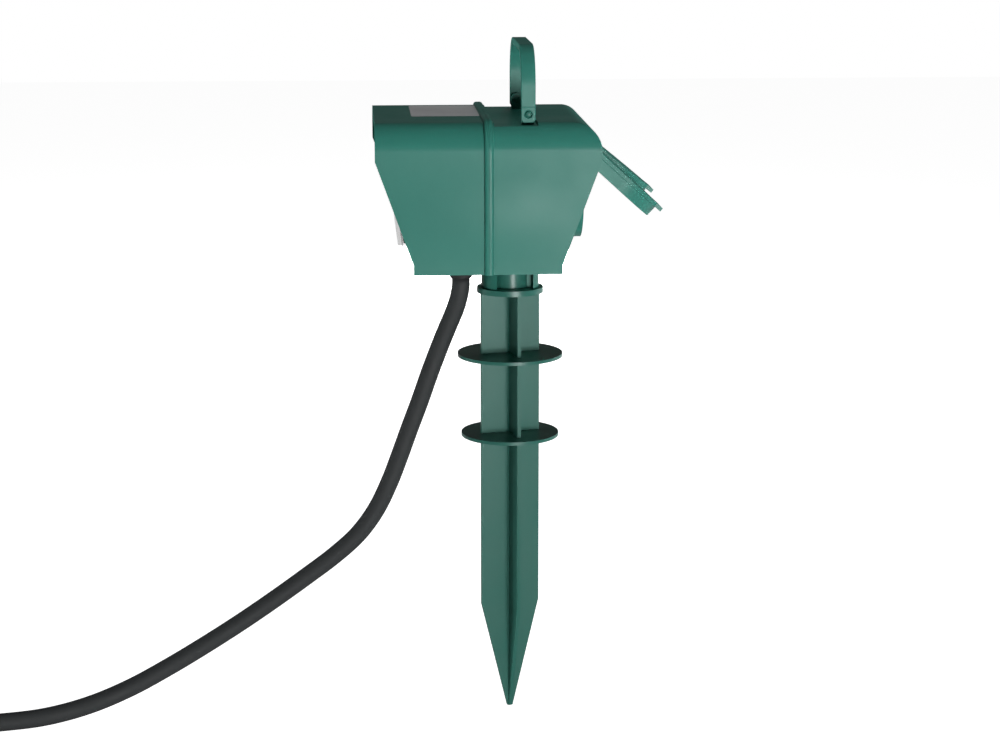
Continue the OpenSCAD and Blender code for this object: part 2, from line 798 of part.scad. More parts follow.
// Outline of a spur gear with straight flanks, a tooth at angle 0
tooth_tip = 0.22;
tooth_root = 0.52;
function gear_points(teeth) = [for (i = [0:teeth - 1], k = [0:3])
    let (step = 360 / teeth, r = gear_module * (teeth / 2 + (k == 0 || k == 3 ? -1.15 : 0.9)),
        a = step * (i + [-tooth_root, -tooth_tip, tooth_tip, tooth_root][k] / 2))
    r * [cos(a), sin(a)]];
module gear(from, to, at, teeth, turn) {
    translate([0, at[0], at[1]])
        along_x(from, to)
            rotate(turn)
                polygon(gear_points(teeth));
}
dial_t = 2.8;
dial_disc_d = dial_d - 6.6;
dial_x = rear_x - timer_flange_t + 0.6;
knob_d = 16;
knob_h = 2.2;
gear_t = 1.8;
module timer_dial() {
    color(grey_plastic)
        difference() {
            union() {
                rod_x(dial_x, dial_x + dial_t, 0, dial_z, dial_disc_d);
                rod_x(dial_x - knob_h, dial_x + eps, 0, dial_z, knob_d);
                gear(dial_x + dial_t - eps, dial_x + dial_t + gear_t, [0, dial_z], dial_teeth, pinion_turn);
            }
            rod_x(dial_x - knob_h - eps, base_x, 0, dial_z, axle_d + 2 * pin_gap);
        }
}
tappet_r = dial_disc_d / 2 + 0.1;
tappet_deep = (dial_d - dial_disc_d) / 2 - 0.2;
tappet_share = 0.72;
tappet_out = 1.6;
module dial_tappets() {
    width = 2 * PI * tappet_r / tappet_count * tappet_share;
    color(black_plastic)
        for (i = [0:tappet_count - 1])
            translate([dial_x - tappet_out, 0, dial_z])
                rotate([360 * (i + 0.5) / tappet_count, 0, 0])
                    translate([0, tappet_r, -width / 2])
                        cube([dial_t + tappet_out - 0.2, tappet_deep, width]);
}
module override_slide() {
    color(black_plastic)
        box([rear_x - timer_flange_t - 1.2, slide_at[0] - slide_w / 2, slide_at[1] - slide_h / 2],
            [rear_x - timer_flange_t + slide_deep, slide_at[0] + slide_w / 2, slide_at[1] + slide_h / 2]);
}
module timer_motor() {
    color(steel)
        rod_x(works_x, works_x + motor_len, pinion_at[0], pinion_at[1], motor_d);
}
pinion_x = [dial_x + dial_t + 0.1, dial_x + dial_t + gear_t];
module motor_pinion() {
    color(brass) {
        gear(pinion_x[0], pinion_x[1], pinion_at, pinion_teeth, pinion_turn + 180 + 180 / pinion_teeth);
        rod_x(pinion_x[0], works_x - 0.1, pinion_at[0], pinion_at[1], motor_shaft_d);
    }
}
contact_box = [8, 18, 9];
module timer_contact() {
    color(black_plastic)
        translate([works_x, -timer_w / 2 + timer_wall + swing_gap,
            dial_z - timer_w / 2 + timer_wall + swing_gap])
            cube(contact_box);
}

// The clear cover: a shallow tray with a snap tongue at its lower edge
cover_rim = 1.6;
rim_deep = 2.2;
module timer_cover() {
    inner = cover_out + cover_t;
    half = cover_w / 2;
    color(clear)
        difference() {
            union() {
                box([cover_out, -half, cover_low], [inner, half, cover_pivot[1] - eps]);
                for (s = sides)
                    box([inner - eps, s > 0 ? half - cover_rim : -half, cover_low],
                        [inner + rim_deep, s > 0 ? half : cover_rim - half, cover_pivot[1] - eps]);
                box([inner - eps, -half, cover_low], [inner + rim_deep, half, cover_low + cover_rim]);
                box([inner - eps, -catch_w / 2, tongue_z[0]], [rear_x - swing_gap, catch_w / 2, tongue_z[1]]);
                rod_y(cover_pivot[0], cover_pivot[1], -half, half, cover_barrel_d);
            }
            rod_y(cover_pivot[0], cover_pivot[1], -head_w, head_w, rod_d + 2 * pin_gap);
        }
}
cover_seal_w = 4;
module cover_seal() {
    half = timer_flange_w / 2 + seat_gap;
    low = floor_z + knee + 0.2;
    high = cover_pivot[1] - cover_barrel_d / 2 - swing_gap;
    color(black_rubber)
        difference() {
            box([rear_x - timer_flange_t - swing_gap, -half - cover_seal_w, low],
                [rear_x, half + cover_seal_w, high]);
            box([rear_x - 2 * timer_flange_t, -half, dial_z - half], [rear_x + eps, half, roof_z]);
            box([rear_x - catch_out - seat_gap, -catch_w / 2 - swing_gap, low - eps],
                [rear_x + eps, catch_w / 2 + swing_gap, dial_z]);
        }
}
module cover_hinge_rod() {
    color(steel)
        rod_y(cover_pivot[0], cover_pivot[1], -cover_rod_end, cover_rod_end, rod_d);
}

// The bail handle, a strap bent over in Y and Z
handle_foot = 4.4;
foot_r = 2;
module strap_outline(inset, r) {
    w = handle_span / 2 + strap_t / 2 - inset;
    top = handle_pin_z + handle_rise - inset;
    low = handle_pin_z - handle_foot - (inset > 0 ? eps : 0);
    difference() {
        union() {
            translate([-w, low])
                square([2 * w, top - r - low]);
            translate([-w + r, top - r - eps])
                square([2 * (w - r), r + eps]);
            for (s = sides)
                translate([s * (w - r), top - r])
                    circle(r);
        }
        translate([-w, low - 2 * r])
            square([2 * w, 2 * r]);
    }
}
module handle() {
    low = handle_pin_z - handle_foot;
    color(green)
        difference() {
            along_x(handle_fwd - strap_w / 2, handle_fwd + strap_w / 2)
                difference() {
                    strap_outline(0, handle_r);
                    strap_outline(strap_t, handle_r - strap_t);
                }
            for (s = sides)
                translate([handle_fwd + s * (strap_w / 2 - foot_r), 0, low + foot_r])
                    along_y(head_w)
                        difference() {
                            translate([s > 0 ? 0 : -foot_r - eps, -foot_r - eps])
                                square(foot_r + eps);
                            circle(foot_r, $fn = small_fn);
                        }
            rod_y(handle_fwd, handle_pin_z, -head_w, head_w, handle_pin_d + 2 * pin_gap);
        }
}
module handle_pins() {
    color(dark_green)
        for (s = sides)
            rod_y(handle_fwd, handle_pin_z, s > 0 ? lug_out - handle_lug_t : -handle_span / 2 - strap_t / 2,
                s > 0 ? handle_span / 2 + strap_t / 2 : -lug_out + handle_lug_t, handle_pin_d);
}

module stake_neck() {
    color(dark_green)
        difference() {
            translate([0, 0, stake_len + neck_rest])
                cylinder(d = sleeve_d, h = floor_rise - neck_rest);
            translate([0, 0, stake_len - eps])
                cylinder(d = spigot_d + 2 * seat_gap, h = floor_rise + 2 * eps);
            for (s = sides)
                box([window_x[0], s > 0 ? spigot_d / 4 : -sleeve_d, stake_len - eps],
                    [window_x[1], s > 0 ? sleeve_d : -spigot_d / 4, stake_len + window_rise]);
            for (at = neck_screws_at)
                translate([at[0], at[1], inside_z - neck_screw_len - eps])
                    cylinder(d = neck_screw_d + 2 * pin_gap, h = neck_screw_len + eps);
        }
}
// A screw that stands upright with its head on the floor
module floor_screw(at, d, length) {
    translate([at[0], at[1], inside_z - length])
        cylinder(d = d, h = length);
    translate([at[0], at[1], inside_z])
        cylinder(d = head_wide * d, h = head_high * d);
}
module neck_screws() {
    color(steel)
        for (at = neck_screws_at)
            floor_screw(at, neck_screw_d, neck_screw_len);
}
module stake_screw() {
    color(steel)
        floor_screw([0, 0], stake_screw_d, stake_screw_len);
}

module disc(top, d, t) {
    translate([0, 0, top - t])
        cylinder(d = d, h = t);
}
stake_core_d = 4;
spigot_top = floor_z - neck_rest;
module stake() {
    fin_top = stake_len - collar_t / 2;
    color(green)
        difference() {
            union() {
                for (turn = [0, 90])
                    rotate([90, 0, fin_turn + turn])
                        linear_extrude(fin_t, center = true)
                            polygon([[-tip_w / 2, 0], [tip_w / 2, 0], [fin_span / 2, point_len],
                                [fin_span / 2, fin_top],
                                [-fin_span / 2, fin_top], [-fin_span / 2, point_len]]);
                translate([0, 0, point_len])
                    cylinder(d = stake_core_d, h = fin_top - point_len);
                cylinder(d1 = tip_w, d2 = stake_core_d, h = point_len + eps);
                disc(stake_len, collar_d, collar_t);
                disc(stake_len - upper_disc_drop, upper_disc_d, disc_t);
                disc(stake_len - lower_disc_drop, lower_disc_d, disc_t);
                disc(spigot_top, spigot_d, spigot_top - stake_len + eps);
            }
            translate([0, 0, inside_z - stake_screw_len - 1])
                cylinder(d = stake_screw_d + 2 * pin_gap, h = stake_screw_len + 2);
        }
}

// Cord inlet: grommet with a short boot, clamp, and the cord's end inside the head
boot_len = 16;
boot_low = floor_z - boot_len;
cord_top = clamp_z[1] + 2;
module cord_grommet() {
    r = grommet_d / 2 - seat_gap / 3;
    bore = cord_d / 2 + seat_gap / 3;
    color(black_rubber)
        translate([inlet_x, 0, 0])
            rotate_extrude()
                polygon([[bore, boot_low], [bore + 1.2, boot_low], [r, floor_z - grommet_lip_t],
                    [r + grommet_lip, floor_z - grommet_lip_t], [r + grommet_lip, floor_z],
                    [r, floor_z], [r, inside_z],
                    [r + grommet_lip, inside_z], [r + grommet_lip, inside_z + grommet_lip_t],
                    [bore, inside_z + grommet_lip_t]]);
}
module cord_clamp() {
    color(black_plastic)
        difference() {
            box([clamp_x[0], -clamp_half, clamp_z[0]], [clamp_x[1], clamp_half, clamp_z[1]]);
            translate([inlet_x, 0, 0])
                cylinder(d = cord_d + 2 * seat_gap, h = roof_z);
            for (s = sides)
                rod_x(clamp_x[0] - eps, clamp_x[1] + eps, s * clamp_screw_y, clamp_screw_z,
                    clamp_screw_d + 2 * screw_hole_gap);
        }
}
module clamp_screws() {
    color(steel)
        for (s = sides)
            screw_x(clamp_x[0], s * clamp_screw_y, clamp_screw_z, clamp_screw_d, clamp_screw_len);
}
module cord_end() {
    color(black_rubber)
        translate([inlet_x, 0, boot_low])
            cylinder(d = cord_d, h = cord_top - boot_low);
}

// A tube swept along points, with its rings square to the path
function unit(v) = v / norm(v);
function heading(p, i) = unit(p[min(i + 1, len(p) - 1)] - p[max(i - 1, 0)]);
function ring(p, i, r, n, side) =
    let (t = heading(p, i), a = unit(cross(t, side)), b = cross(t, a))
    [for (k = [0:n - 1]) p[i] + r * (cos(360 * k / n) * a + sin(360 * k / n) * b)];
module tube(p, d, n, side) {
    last = (len(p) - 1) * n;
    polyhedron(
        [for (i = [0:len(p) - 1]) each ring(p, i, d / 2, n, side)],
        concat(
            [for (i = [0:len(p) - 2], k = [0:n - 1]) each
                let (a = i * n + k, b = i * n + (k + 1) % n)
                [[a, b + n, b], [a, a + n, b + n]]],
            [for (k = [1:n - 2]) [0, k, k + 1]],
            [for (k = [1:n - 2]) [last, last + k + 1, last + k]]));
}

// Inner wires: three cores of the cord, the switched live and the timer's neutral
core_d = 2.8;
wire_sides = 8;
wire_gap = 0.1;
wire_lead = 3;
timer_face = back_x + base_t + wire_gap;
strip_face = bar_x - wire_gap;
brown = [0.38, 0.22, 0.14];
blue = [0.15, 0.32, 0.62];
yellow_green = [0.62, 0.72, 0.18];
module wire(p, paint) {
    color(paint)
        tube(p, core_d, wire_sides, [0.2, 0.9, 0.3]);
}
module live_wire() {
    x = inlet_x - 2;
    z = cord_top + wire_gap;
    wire([[x, 0, z], [x, 0, z + 4], [x - 1.4, -0.7, z + 9], [x - 5, -1.9, z + 13.6],
        [timer_face + wire_lead, -2, z + 14], [timer_face, -2, z + 14]], brown);
}
module switched_wire() {
    z = socket_z + strip_rise;
    wire([[timer_face, -14, z], [timer_face + 6, -14, z], [-18, -18, z + 1.5],
        [-8, -22, z], [strip_face, -22, z]],
        brown);
}
module neutral_wire() {
    x = inlet_x + 1;
    z = cord_top + wire_gap;
    end = socket_z - strip_rise;
    wire([[x, -1.75, z], [x, -1.75, z + 4], [x + 4, -5, end + 2], [-14, -10, end + 0.5], [-7, -14, end],
        [strip_face, -14, end]], blue);
}
module timer_wire() {
    z = socket_z - strip_rise;
    wire([[strip_face, 10, z], [-8, 10, z], [-20, 12, z + 4], [-29, 12, z + 10],
        [timer_face + wire_lead, 12, z + 11], [timer_face, 12, z + 11]], blue);
}
module earth_wire() {
    x = inlet_x + 1;
    z = cord_top + wire_gap;
    end = socket_z - clip_r + strip_w / 2;
    wire([[x, 1.75, z], [x, 1.75, z + 4], [x + 6, 3, z + 4], [-9, 4, end + 2], [2, 4, end],
        [insert_back_x - strip_t - wire_gap, 4, end]], yellow_green);
}

// The cord's way from its inlet to the coil, point by point, down to the ground and along it
coil_centre = [-385, 28];
tie_t = 1.2;
coil_gap = 0.8;
coil_low = tie_t + 0.4 + cord_d / 2;
coil_start = [coil_centre[0] + 12, coil_centre[1] - coil_r, coil_low];
cord_route = [[inlet_x, 0, boot_low - wire_gap], [inlet_x, 0, boot_low - 4], [-28.2, 0, 237], [-30.4, 0, 230],
    [-34, 0, 221.5], [-38.5, 0, 210.5], [-44.4, 0, 195], [-50, 0, 179], [-56, 0, 163], [-61.6, 0, 147.5],
    [-67.6, 0, 132], [-75.2, 0, 116.5],
    [-85.5, 0, 102.5], [-99, 0, 90.3], [-114, 0, 79], [-131, -1, 67], [-150, -3, 54.5], [-170, -6, 42.5],
    [-191, -10, 31], [-213, -15, 20.5], [-236, -20, 12.5], [-260, -25, 8], [-285, -29, 6.8], [-312, -32.4, 6.6],
    [-340, -34.4, 6.6], coil_start];
cord_sides = 12;
module cord_free() {
    color(black_rubber)
        tube(cord_route, cord_d, cord_sides, [0, 1, 0]);
}

// The rest of the cord: two flat layers, spiralling in and out again, with the climb in the middle
coil_turns = 2 * layer_turns + 0.5;
turn_rings = 24;
coil_sides = 6;
coil_step = cord_d + coil_gap;
lead = 50;
plug_z = plug_d / 2 + 0.2;
plug_x = coil_centre[0] - lead;
plug_y = coil_centre[1] - coil_r;
function eased(t) = let (u = max(0, min(1, t))) u * u * (3 - 2 * u);
function coil_point(turn) =
    let (r = coil_r - coil_step * (coil_turns / 2 - abs(turn - coil_turns / 2)), a = -90 - 360 * turn)
    [coil_centre[0] + r * cos(a), coil_centre[1] + r * sin(a),
        coil_low + coil_step * eased((turn - layer_turns) / 0.5)];
coil_loops = [for (i = [0:round(coil_turns * turn_rings)]) coil_point(i / turn_rings)];
coil_path = concat([coil_start + [-wire_gap, 0, 0]], coil_loops,
    [[plug_x + lead * 0.65, plug_y, coil_low + coil_step], [plug_x + lead * 0.3, plug_y, plug_z],
        [plug_x + wire_gap, plug_y, plug_z]]);
coil_least = min([for (i = [0:len(coil_loops) - 1], j = [i + turn_rings / 2:1:len(coil_loops) - 1])
    norm(coil_loops[i] - coil_loops[j])]) - cord_d;
echo(least_gap_between_the_coils_turns = coil_least);
module cord_coil() {
    color(black_rubber)
        tube(coil_path, cord_d, coil_sides, [0, 0, 1]);
}
tie_w = 6;
module coil_tie() {
    reach = [coil_r + cord_d / 2, coil_r - coil_step * coil_turns / 2 - cord_d / 2];
    low = [coil_centre[0] - reach[0], coil_low - cord_d / 2];
    high = [coil_centre[0] - reach[1], coil_low + coil_step + cord_d / 2];
    gap = 0.3;
    color(black_plastic)
        translate([0, coil_centre[1], 0])
            along_y(tie_w)
                difference() {
                    translate(low - [gap + tie_t, gap + tie_t])
                        square(high - low + 2 * [gap + tie_t, gap + tie_t]);
                    translate(low - [gap, gap])
                        square(high - low + 2 * [gap, gap]);
                }
}

// The earthed plug, lying beside the coil
plug_neck_d = cord_d + 5;
plug_neck_len = 18;
plug_pin_d = 4.8;
plug_pin_len = 19;
module plug_body() {
    color(black_rubber)
        translate([plug_x, plug_y, plug_z])
            rotate([0, -90, 0])
                rotate_extrude()
                    polygon([[0, 0], [plug_neck_d / 2, 0], [plug_neck_d / 2 + 1.5, plug_neck_len],
                        [plug_d / 2, plug_neck_len + 10], [plug_d / 2, plug_len], [0, plug_len]]);
}
module plug_pins() {
    face = plug_x - plug_len;
    color(steel)
        for (s = sides)
            rod_x(face - plug_pin_len, face, plug_y + s * pin_pitch / 2, plug_z, plug_pin_d);
}

front_shell();
rear_shell();
seam_gasket();
shell_screws();
socket_insert(-1);  // near_socket_insert
socket_insert(1);  // far_socket_insert
contact_bar([pin_y(-1, -1), pin_y(1, -1)], 1);  // live_bar
contact_bar([pin_y(-1, 1), pin_y(1, 1)], -1);  // neutral_bar
earth_bar();
insert_screws();
lid(-1);  // near_lid
lid(1);  // far_lid
lid_seal(-1);  // near_lid_seal
lid_seal(1);  // far_lid_seal
lid_hinge_rod();
timer_case();
timer_back();
timer_screws();
timer_dial();
dial_tappets();
override_slide();
timer_motor();
motor_pinion();
timer_contact();
timer_cover();
cover_seal();
cover_hinge_rod();
handle();
handle_pins();
stake_neck();
neck_screws();
stake();
stake_screw();
cord_grommet();
cord_clamp();
clamp_screws();
cord_end();
live_wire();
switched_wire();
neutral_wire();
timer_wire();
earth_wire();
cord_free();
cord_coil();
coil_tie();
plug_body();
plug_pins();
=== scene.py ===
# %% [markdown]
# # A garden socket post
# A green plastic head with two lidded sockets, a timer under a clear cover, a folding handle and a
# finned ground stake, with a black rubber cord. The CAD solids come in as a fixed frame: the hard
# pieces are dressed with softened edges and real materials, and what the solids leave out, such as
# the label, the dial's numbers and the plug's ribs, is modelled here.

# %% Load the frame and keep its box
import json
import math
import bmesh
import bpy
from mathutils import Matrix, Vector


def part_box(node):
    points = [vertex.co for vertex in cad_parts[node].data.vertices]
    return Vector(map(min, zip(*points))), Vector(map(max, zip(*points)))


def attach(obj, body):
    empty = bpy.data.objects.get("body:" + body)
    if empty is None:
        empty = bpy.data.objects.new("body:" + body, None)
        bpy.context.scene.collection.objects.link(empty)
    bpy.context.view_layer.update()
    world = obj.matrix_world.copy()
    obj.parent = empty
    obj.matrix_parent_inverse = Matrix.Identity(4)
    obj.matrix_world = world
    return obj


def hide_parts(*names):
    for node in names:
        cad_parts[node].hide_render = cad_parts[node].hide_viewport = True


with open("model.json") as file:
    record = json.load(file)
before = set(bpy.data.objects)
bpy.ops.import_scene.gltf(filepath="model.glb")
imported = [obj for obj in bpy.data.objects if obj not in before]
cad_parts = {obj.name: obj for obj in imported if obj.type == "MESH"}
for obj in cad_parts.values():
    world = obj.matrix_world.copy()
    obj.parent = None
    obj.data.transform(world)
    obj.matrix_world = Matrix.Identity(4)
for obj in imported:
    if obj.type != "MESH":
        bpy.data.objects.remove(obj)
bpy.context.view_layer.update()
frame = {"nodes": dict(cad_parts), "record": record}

# %% [markdown]
# The camera comes first, because every later choice is judged through it. The photograph is a long
# lens from the far side of a table: nearly square on to the side of the head, a little above it.
# The lens is given in the photograph's own pixels, so the frame is 1000 by 750.

# %% Camera
PHOTO = (1000, 750)
LENS_PX = 2300
SENSOR = 36
CAMERA_FAR = 1.275
CAMERA_AZIMUTH = math.radians(-3.7)
CAMERA_RISE = math.radians(12.4)
AIM = Vector((-0.0055, 0.0, 0.1929))

camera_data = bpy.data.cameras.new("camera")
camera_data.sensor_fit = "HORIZONTAL"
camera_data.sensor_width = SENSOR
camera_data.lens = SENSOR * LENS_PX / PHOTO[0]
camera_data.clip_start = 0.05
camera = bpy.data.objects.new("camera", camera_data)
bpy.context.collection.objects.link(camera)
away = Vector((math.sin(CAMERA_AZIMUTH) * math.cos(CAMERA_RISE),
               -math.cos(CAMERA_AZIMUTH) * math.cos(CAMERA_RISE), math.sin(CAMERA_RISE)))
camera.location = AIM + CAMERA_FAR * away
camera.rotation_euler = (-away).to_track_quat("-Z", "Y").to_euler()
bpy.context.scene.camera = camera
print("lens", round(camera_data.lens, 1), "mm")

# %% [markdown]
# Two small helpers serve every material: one turns a hex colour into the linear numbers that the
# shader works in, and one adds a node with its settings and links. Patterns are measured on Object
# coordinates, so their scale is one over a real size in metres. A noise seldom leaves the range
# from 0.3 to 0.7, so that is the range which is spread over a finish's roughness.

# %% Material helpers
MM = 0.001
NOISE_LOW, NOISE_HIGH = 0.3, 0.7


def colour(hex_text, alpha=1.0):
    def linear(v):
        return v / 12.92 if v <= 0.04045 else ((v + 0.055) / 1.055) ** 2.4
    return tuple(linear(int(hex_text[i:i + 2], 16) / 255) for i in (1, 3, 5)) + (alpha,)


def add(tree, kind, inputs=(), **settings):
    made = tree.nodes.new(kind)
    for name, value in settings.items():
        setattr(made, name, value)
    for name, value in dict(inputs).items():
        if isinstance(value, bpy.types.NodeSocket):
            tree.links.new(value, made.inputs[name])
        else:
            made.inputs[name].default_value = value
    return made


def new_material(name):
    made = bpy.data.materials.new(name)
    made.use_nodes = True
    made.node_tree.nodes.clear()
    return made, made.node_tree


def put_out(tree, shader):
    add(tree, "ShaderNodeOutputMaterial", {"Surface": shader.outputs["BSDF"]})


print("white is", colour("#ffffff"))

# %% [markdown]
# Most of the post is ABS, moulded in a spark-eroded tool. Up close such a skin is a grain of about a
# tenth of a millimetre. That is too fine for this picture, so it is drawn at 0.7 mm and kept faint.
# A slow drift of colour and gloss over some 40 mm is what a large moulding shows where the melt
# cooled unevenly. Use changes the skin: hands rub the handle and the lids smooth, and soil scuffs
# the stake, so these two finishes are kinds of their own.

# %% Moulded plastics
def moulded_plastic(name, base, deep, rough, grain_mm, grain_deep, shine=0.3, cloud_mm=40):
    made, tree = new_material(name)
    place = add(tree, "ShaderNodeTexCoord").outputs["Object"]
    cloud = add(tree, "ShaderNodeTexNoise", {"Vector": place, "Scale": 1 / (cloud_mm * MM), "Detail": 3.0})
    grain = add(tree, "ShaderNodeTexNoise", {"Vector": place, "Scale": 1 / (grain_mm * MM), "Detail": 2.0})
    tint = add(tree, "ShaderNodeMix", {"Factor": cloud.outputs["Fac"], 6: colour(base), 7: colour(deep)},
               data_type="RGBA")
    gloss = add(tree, "ShaderNodeMapRange", {"Value": cloud.outputs["Fac"], "From Min": NOISE_LOW,
                                             "From Max": NOISE_HIGH, "To Min": rough - 0.05,
                                             "To Max": rough + 0.05})
    bump = add(tree, "ShaderNodeBump", {"Height": grain.outputs["Fac"], "Strength": 0.35,
                                        "Distance": grain_deep * MM})
    shader = add(tree, "ShaderNodeBsdfPrincipled", {"Base Color": tint.outputs[2],
                                                    "Roughness": gloss.outputs[0],
                                                    "Normal": bump.outputs[0], "IOR": 1.5,
                                                    "Specular IOR Level": shine})
    put_out(tree, shader)
    return made


# Half matt, with one broad, weak highlight.
green_abs = moulded_plastic("green_ABS_moulded", "#398073", "#32776b", 0.34, 0.7, 0.04, 0.14)
# The same skin in a deeper green, on the pieces that are moulded apart from the head.
dark_abs = moulded_plastic("dark_green_ABS_moulded", "#317266", "#2c695d", 0.34, 0.7, 0.04, 0.14)
# Rubbed by hands: hardly any grain is left, and the shine is softer.
smooth_abs = moulded_plastic("green_ABS_worn_smooth", "#3a8275", "#34796d", 0.42, 0.7, 0.008, 0.22)
# Scuffed by soil: darker and glossier, in short patches.
stake_abs = moulded_plastic("green_ABS_scuffed_by_soil", "#2f6a5f", "#2b6257", 0.34, 0.7, 0.04, 0.36, 25)
# Polyamide is near black, with a dull, slightly coarse skin.
black_pa = moulded_plastic("black_polyamide_moulded", "#26292a", "#1f2223", 0.45, 0.7, 0.05)
# The timer's case and dial stay under the cover, so they stay pale and clean.
grey_abs = moulded_plastic("light_grey_ABS_moulded", "#c3c7c4", "#b9bebb", 0.4, 0.7, 0.03)
# Soft PVC on the wires is even in colour, with a slight sheen.
brown_pvc = moulded_plastic("brown_PVC_insulation", "#63381f", "#56301a", 0.4, 0.9, 0.02)
blue_pvc = moulded_plastic("blue_PVC_insulation", "#24569c", "#1f4c8c", 0.4, 0.9, 0.02)
earth_pvc = moulded_plastic("green_yellow_PVC_insulation", "#a9bd2c", "#8fb02c", 0.4, 0.9, 0.02)
print("plastics", [m.name for m in bpy.data.materials])

# %% [markdown]
# Rubber is darker and duller than plastic, with a dusty, slightly uneven skin. The dust lies in
# patches of some 12 mm.

# %% Rubbers
def rubber(name, base, dusty, rough, grain_mm):
    made, tree = new_material(name)
    place = add(tree, "ShaderNodeTexCoord").outputs["Object"]
    cloud = add(tree, "ShaderNodeTexNoise", {"Vector": place, "Scale": 1 / (12 * MM), "Detail": 5.0})
    grain = add(tree, "ShaderNodeTexNoise", {"Vector": place, "Scale": 1 / (grain_mm * MM), "Detail": 3.0})
    tint = add(tree, "ShaderNodeMix", {"Factor": cloud.outputs["Fac"], 6: colour(base), 7: colour(dusty)},
               data_type="RGBA")
    gloss = add(tree, "ShaderNodeMapRange", {"Value": cloud.outputs["Fac"], "From Min": NOISE_LOW,
                                             "From Max": NOISE_HIGH, "To Min": rough - 0.06,
                                             "To Max": rough + 0.06})
    bump = add(tree, "ShaderNodeBump", {"Height": grain.outputs["Fac"], "Strength": 0.4,
                                        "Distance": 0.06 * MM})
    shader = add(tree, "ShaderNodeBsdfPrincipled", {"Base Color": tint.outputs[2],
                                                    "Roughness": gloss.outputs[0],
                                                    "Normal": bump.outputs[0], "IOR": 1.52,
                                                    "Specular IOR Level": 0.35})
    put_out(tree, shader)
    return made


# Seals hide in their grooves and stay nearly black.
seal_rubber = rubber("EPDM_rubber_seal", "#242526", "#2c2d2e", 0.7, 0.8)
# The sheath is handled and lies on the ground, so it is dustier.
cord_rubber = rubber("neoprene_rubber_cord_sheath", "#2e3031", "#373a3b", 0.72, 0.9)
print("rubbers", seal_rubber.name, cord_rubber.name)

# %% [markdown]
# The metals are plain: zinc-plated steel for screws, rods and pins, and brass for the contacts.
# Both are drawn from stock, which leaves faint streaks, some 6 mm long and a tenth of that wide.

# %% Metals
def drawn_metal(name, base, rough):
    made, tree = new_material(name)
    place = add(tree, "ShaderNodeTexCoord").outputs["Object"]
    long, fine = 1 / (6 * MM), 1 / (0.6 * MM)
    streaks = add(tree, "ShaderNodeMapping", {"Vector": place, "Scale": (long, fine, fine)})
    noise = add(tree, "ShaderNodeTexNoise", {"Vector": streaks.outputs[0], "Scale": 1.0, "Detail": 3.0})
    gloss = add(tree, "ShaderNodeMapRange", {"Value": noise.outputs["Fac"], "From Min": NOISE_LOW,
                                             "From Max": NOISE_HIGH, "To Min": rough - 0.08,
                                             "To Max": rough + 0.08})
    bump = add(tree, "ShaderNodeBump", {"Height": noise.outputs["Fac"], "Strength": 0.2,
                                        "Distance": 0.02 * MM})
    shader = add(tree, "ShaderNodeBsdfPrincipled", {"Base Color": colour(base), "Metallic": 1.0,
                                                    "Roughness": gloss.outputs[0],
                                                    "Normal": bump.outputs[0]})
    put_out(tree, shader)
    return made


# Zinc plating is a cool, soft mirror.
zinc_steel = drawn_metal("zinc_plated_steel", "#c4c6c8", 0.32)
# Rolled brass is warm and a little brighter.
brass = drawn_metal("brass_strip", "#d9b868", 0.3)
print("metals", zinc_steel.name, brass.name)

# %% [markdown]
# The timer's cover is a clear moulding that has gone a little grey and dull outdoors. A glass shader
# would bend the light and hide the dial in noise. A thin see-through skin shows the dial plainly, and
# its walls still look grey edge on, where several of them lie behind each other.

# %% Clear plastic
def clear_plastic(name, tint, rough, dense):
    made, tree = new_material(name)
    place = add(tree, "ShaderNodeTexCoord").outputs["Object"]
    haze = add(tree, "ShaderNodeTexNoise", {"Vector": place, "Scale": 1 / (8 * MM), "Detail": 4.0})
    gloss = add(tree, "ShaderNodeMapRange", {"Value": haze.outputs["Fac"], "From Min": NOISE_LOW,
                                             "From Max": NOISE_HIGH, "To Min": rough - 0.04,
                                             "To Max": rough + 0.06})
    shader = add(tree, "ShaderNodeBsdfPrincipled", {"Base Color": colour(tint),
                                                    "Roughness": gloss.outputs[0],
                                                    "IOR": 1.58, "Alpha": dense})
    put_out(tree, shader)
    return made


# Polycarbonate outdoors: a smoky tint and a glossy skin that the weather has begun to dull.
clear_pc = clear_plastic("clear_polycarbonate_weathered", "#504a4e", 0.12, 0.27)
print("clear", clear_pc.name)

# %% [markdown]
# Each slot of the record gets its finish. The inner solids keep their own meshes and only take the
# material.

# %% Dress the CAD nodes
FINISH = {"green_plastic": green_abs, "dark_green_plastic": dark_abs, "black_rubber": seal_rubber,
          "cord_sheath": cord_rubber, "black_plastic": black_pa, "grey_plastic": grey_abs,
          "clear_plastic": clear_pc, "brass": brass, "steel": zinc_steel, "brown_insulation": brown_pvc,
          "blue_insulation": blue_pvc, "earth_insulation": earth_pvc}
SLOT_OF = {entry["node"]: entry["material_slot"] for entry in frame["record"]["subparts"]}
BODY_OF = {name: body for body, names in frame["record"]["behaviour"]["bodies"].items() for name in names}
for name, solid in frame["nodes"].items():
    for place in solid.material_slots:
        place.material = FINISH[SLOT_OF[name]]
print("nodes dressed", len(frame["nodes"]))

# %% [markdown]
# The photograph is lit from the camera's side: the side of the head is bright and its roof is dark.
# A broad lamp in front does that, with a dim one above. Three low fills, at both sides and behind,
# keep the other sides from going black. Only the front lamp shows in reflections, because the
# photograph has no second highlight.

# %% Lamps
HEAD_MID = (0, 0, 0.24)


def area_lamp(name, at, aim, size, watts):
    data = bpy.data.lights.new(name, "AREA")
    data.shape = "RECTANGLE"
    data.size, data.size_y = size
    data.energy = watts
    lamp = bpy.data.objects.new(name, data)
    lamp.location = at
    lamp.rotation_euler = (Vector(aim) - Vector(at)).to_track_quat("-Z", "Y").to_euler()
    bpy.context.collection.objects.link(lamp)
    return lamp


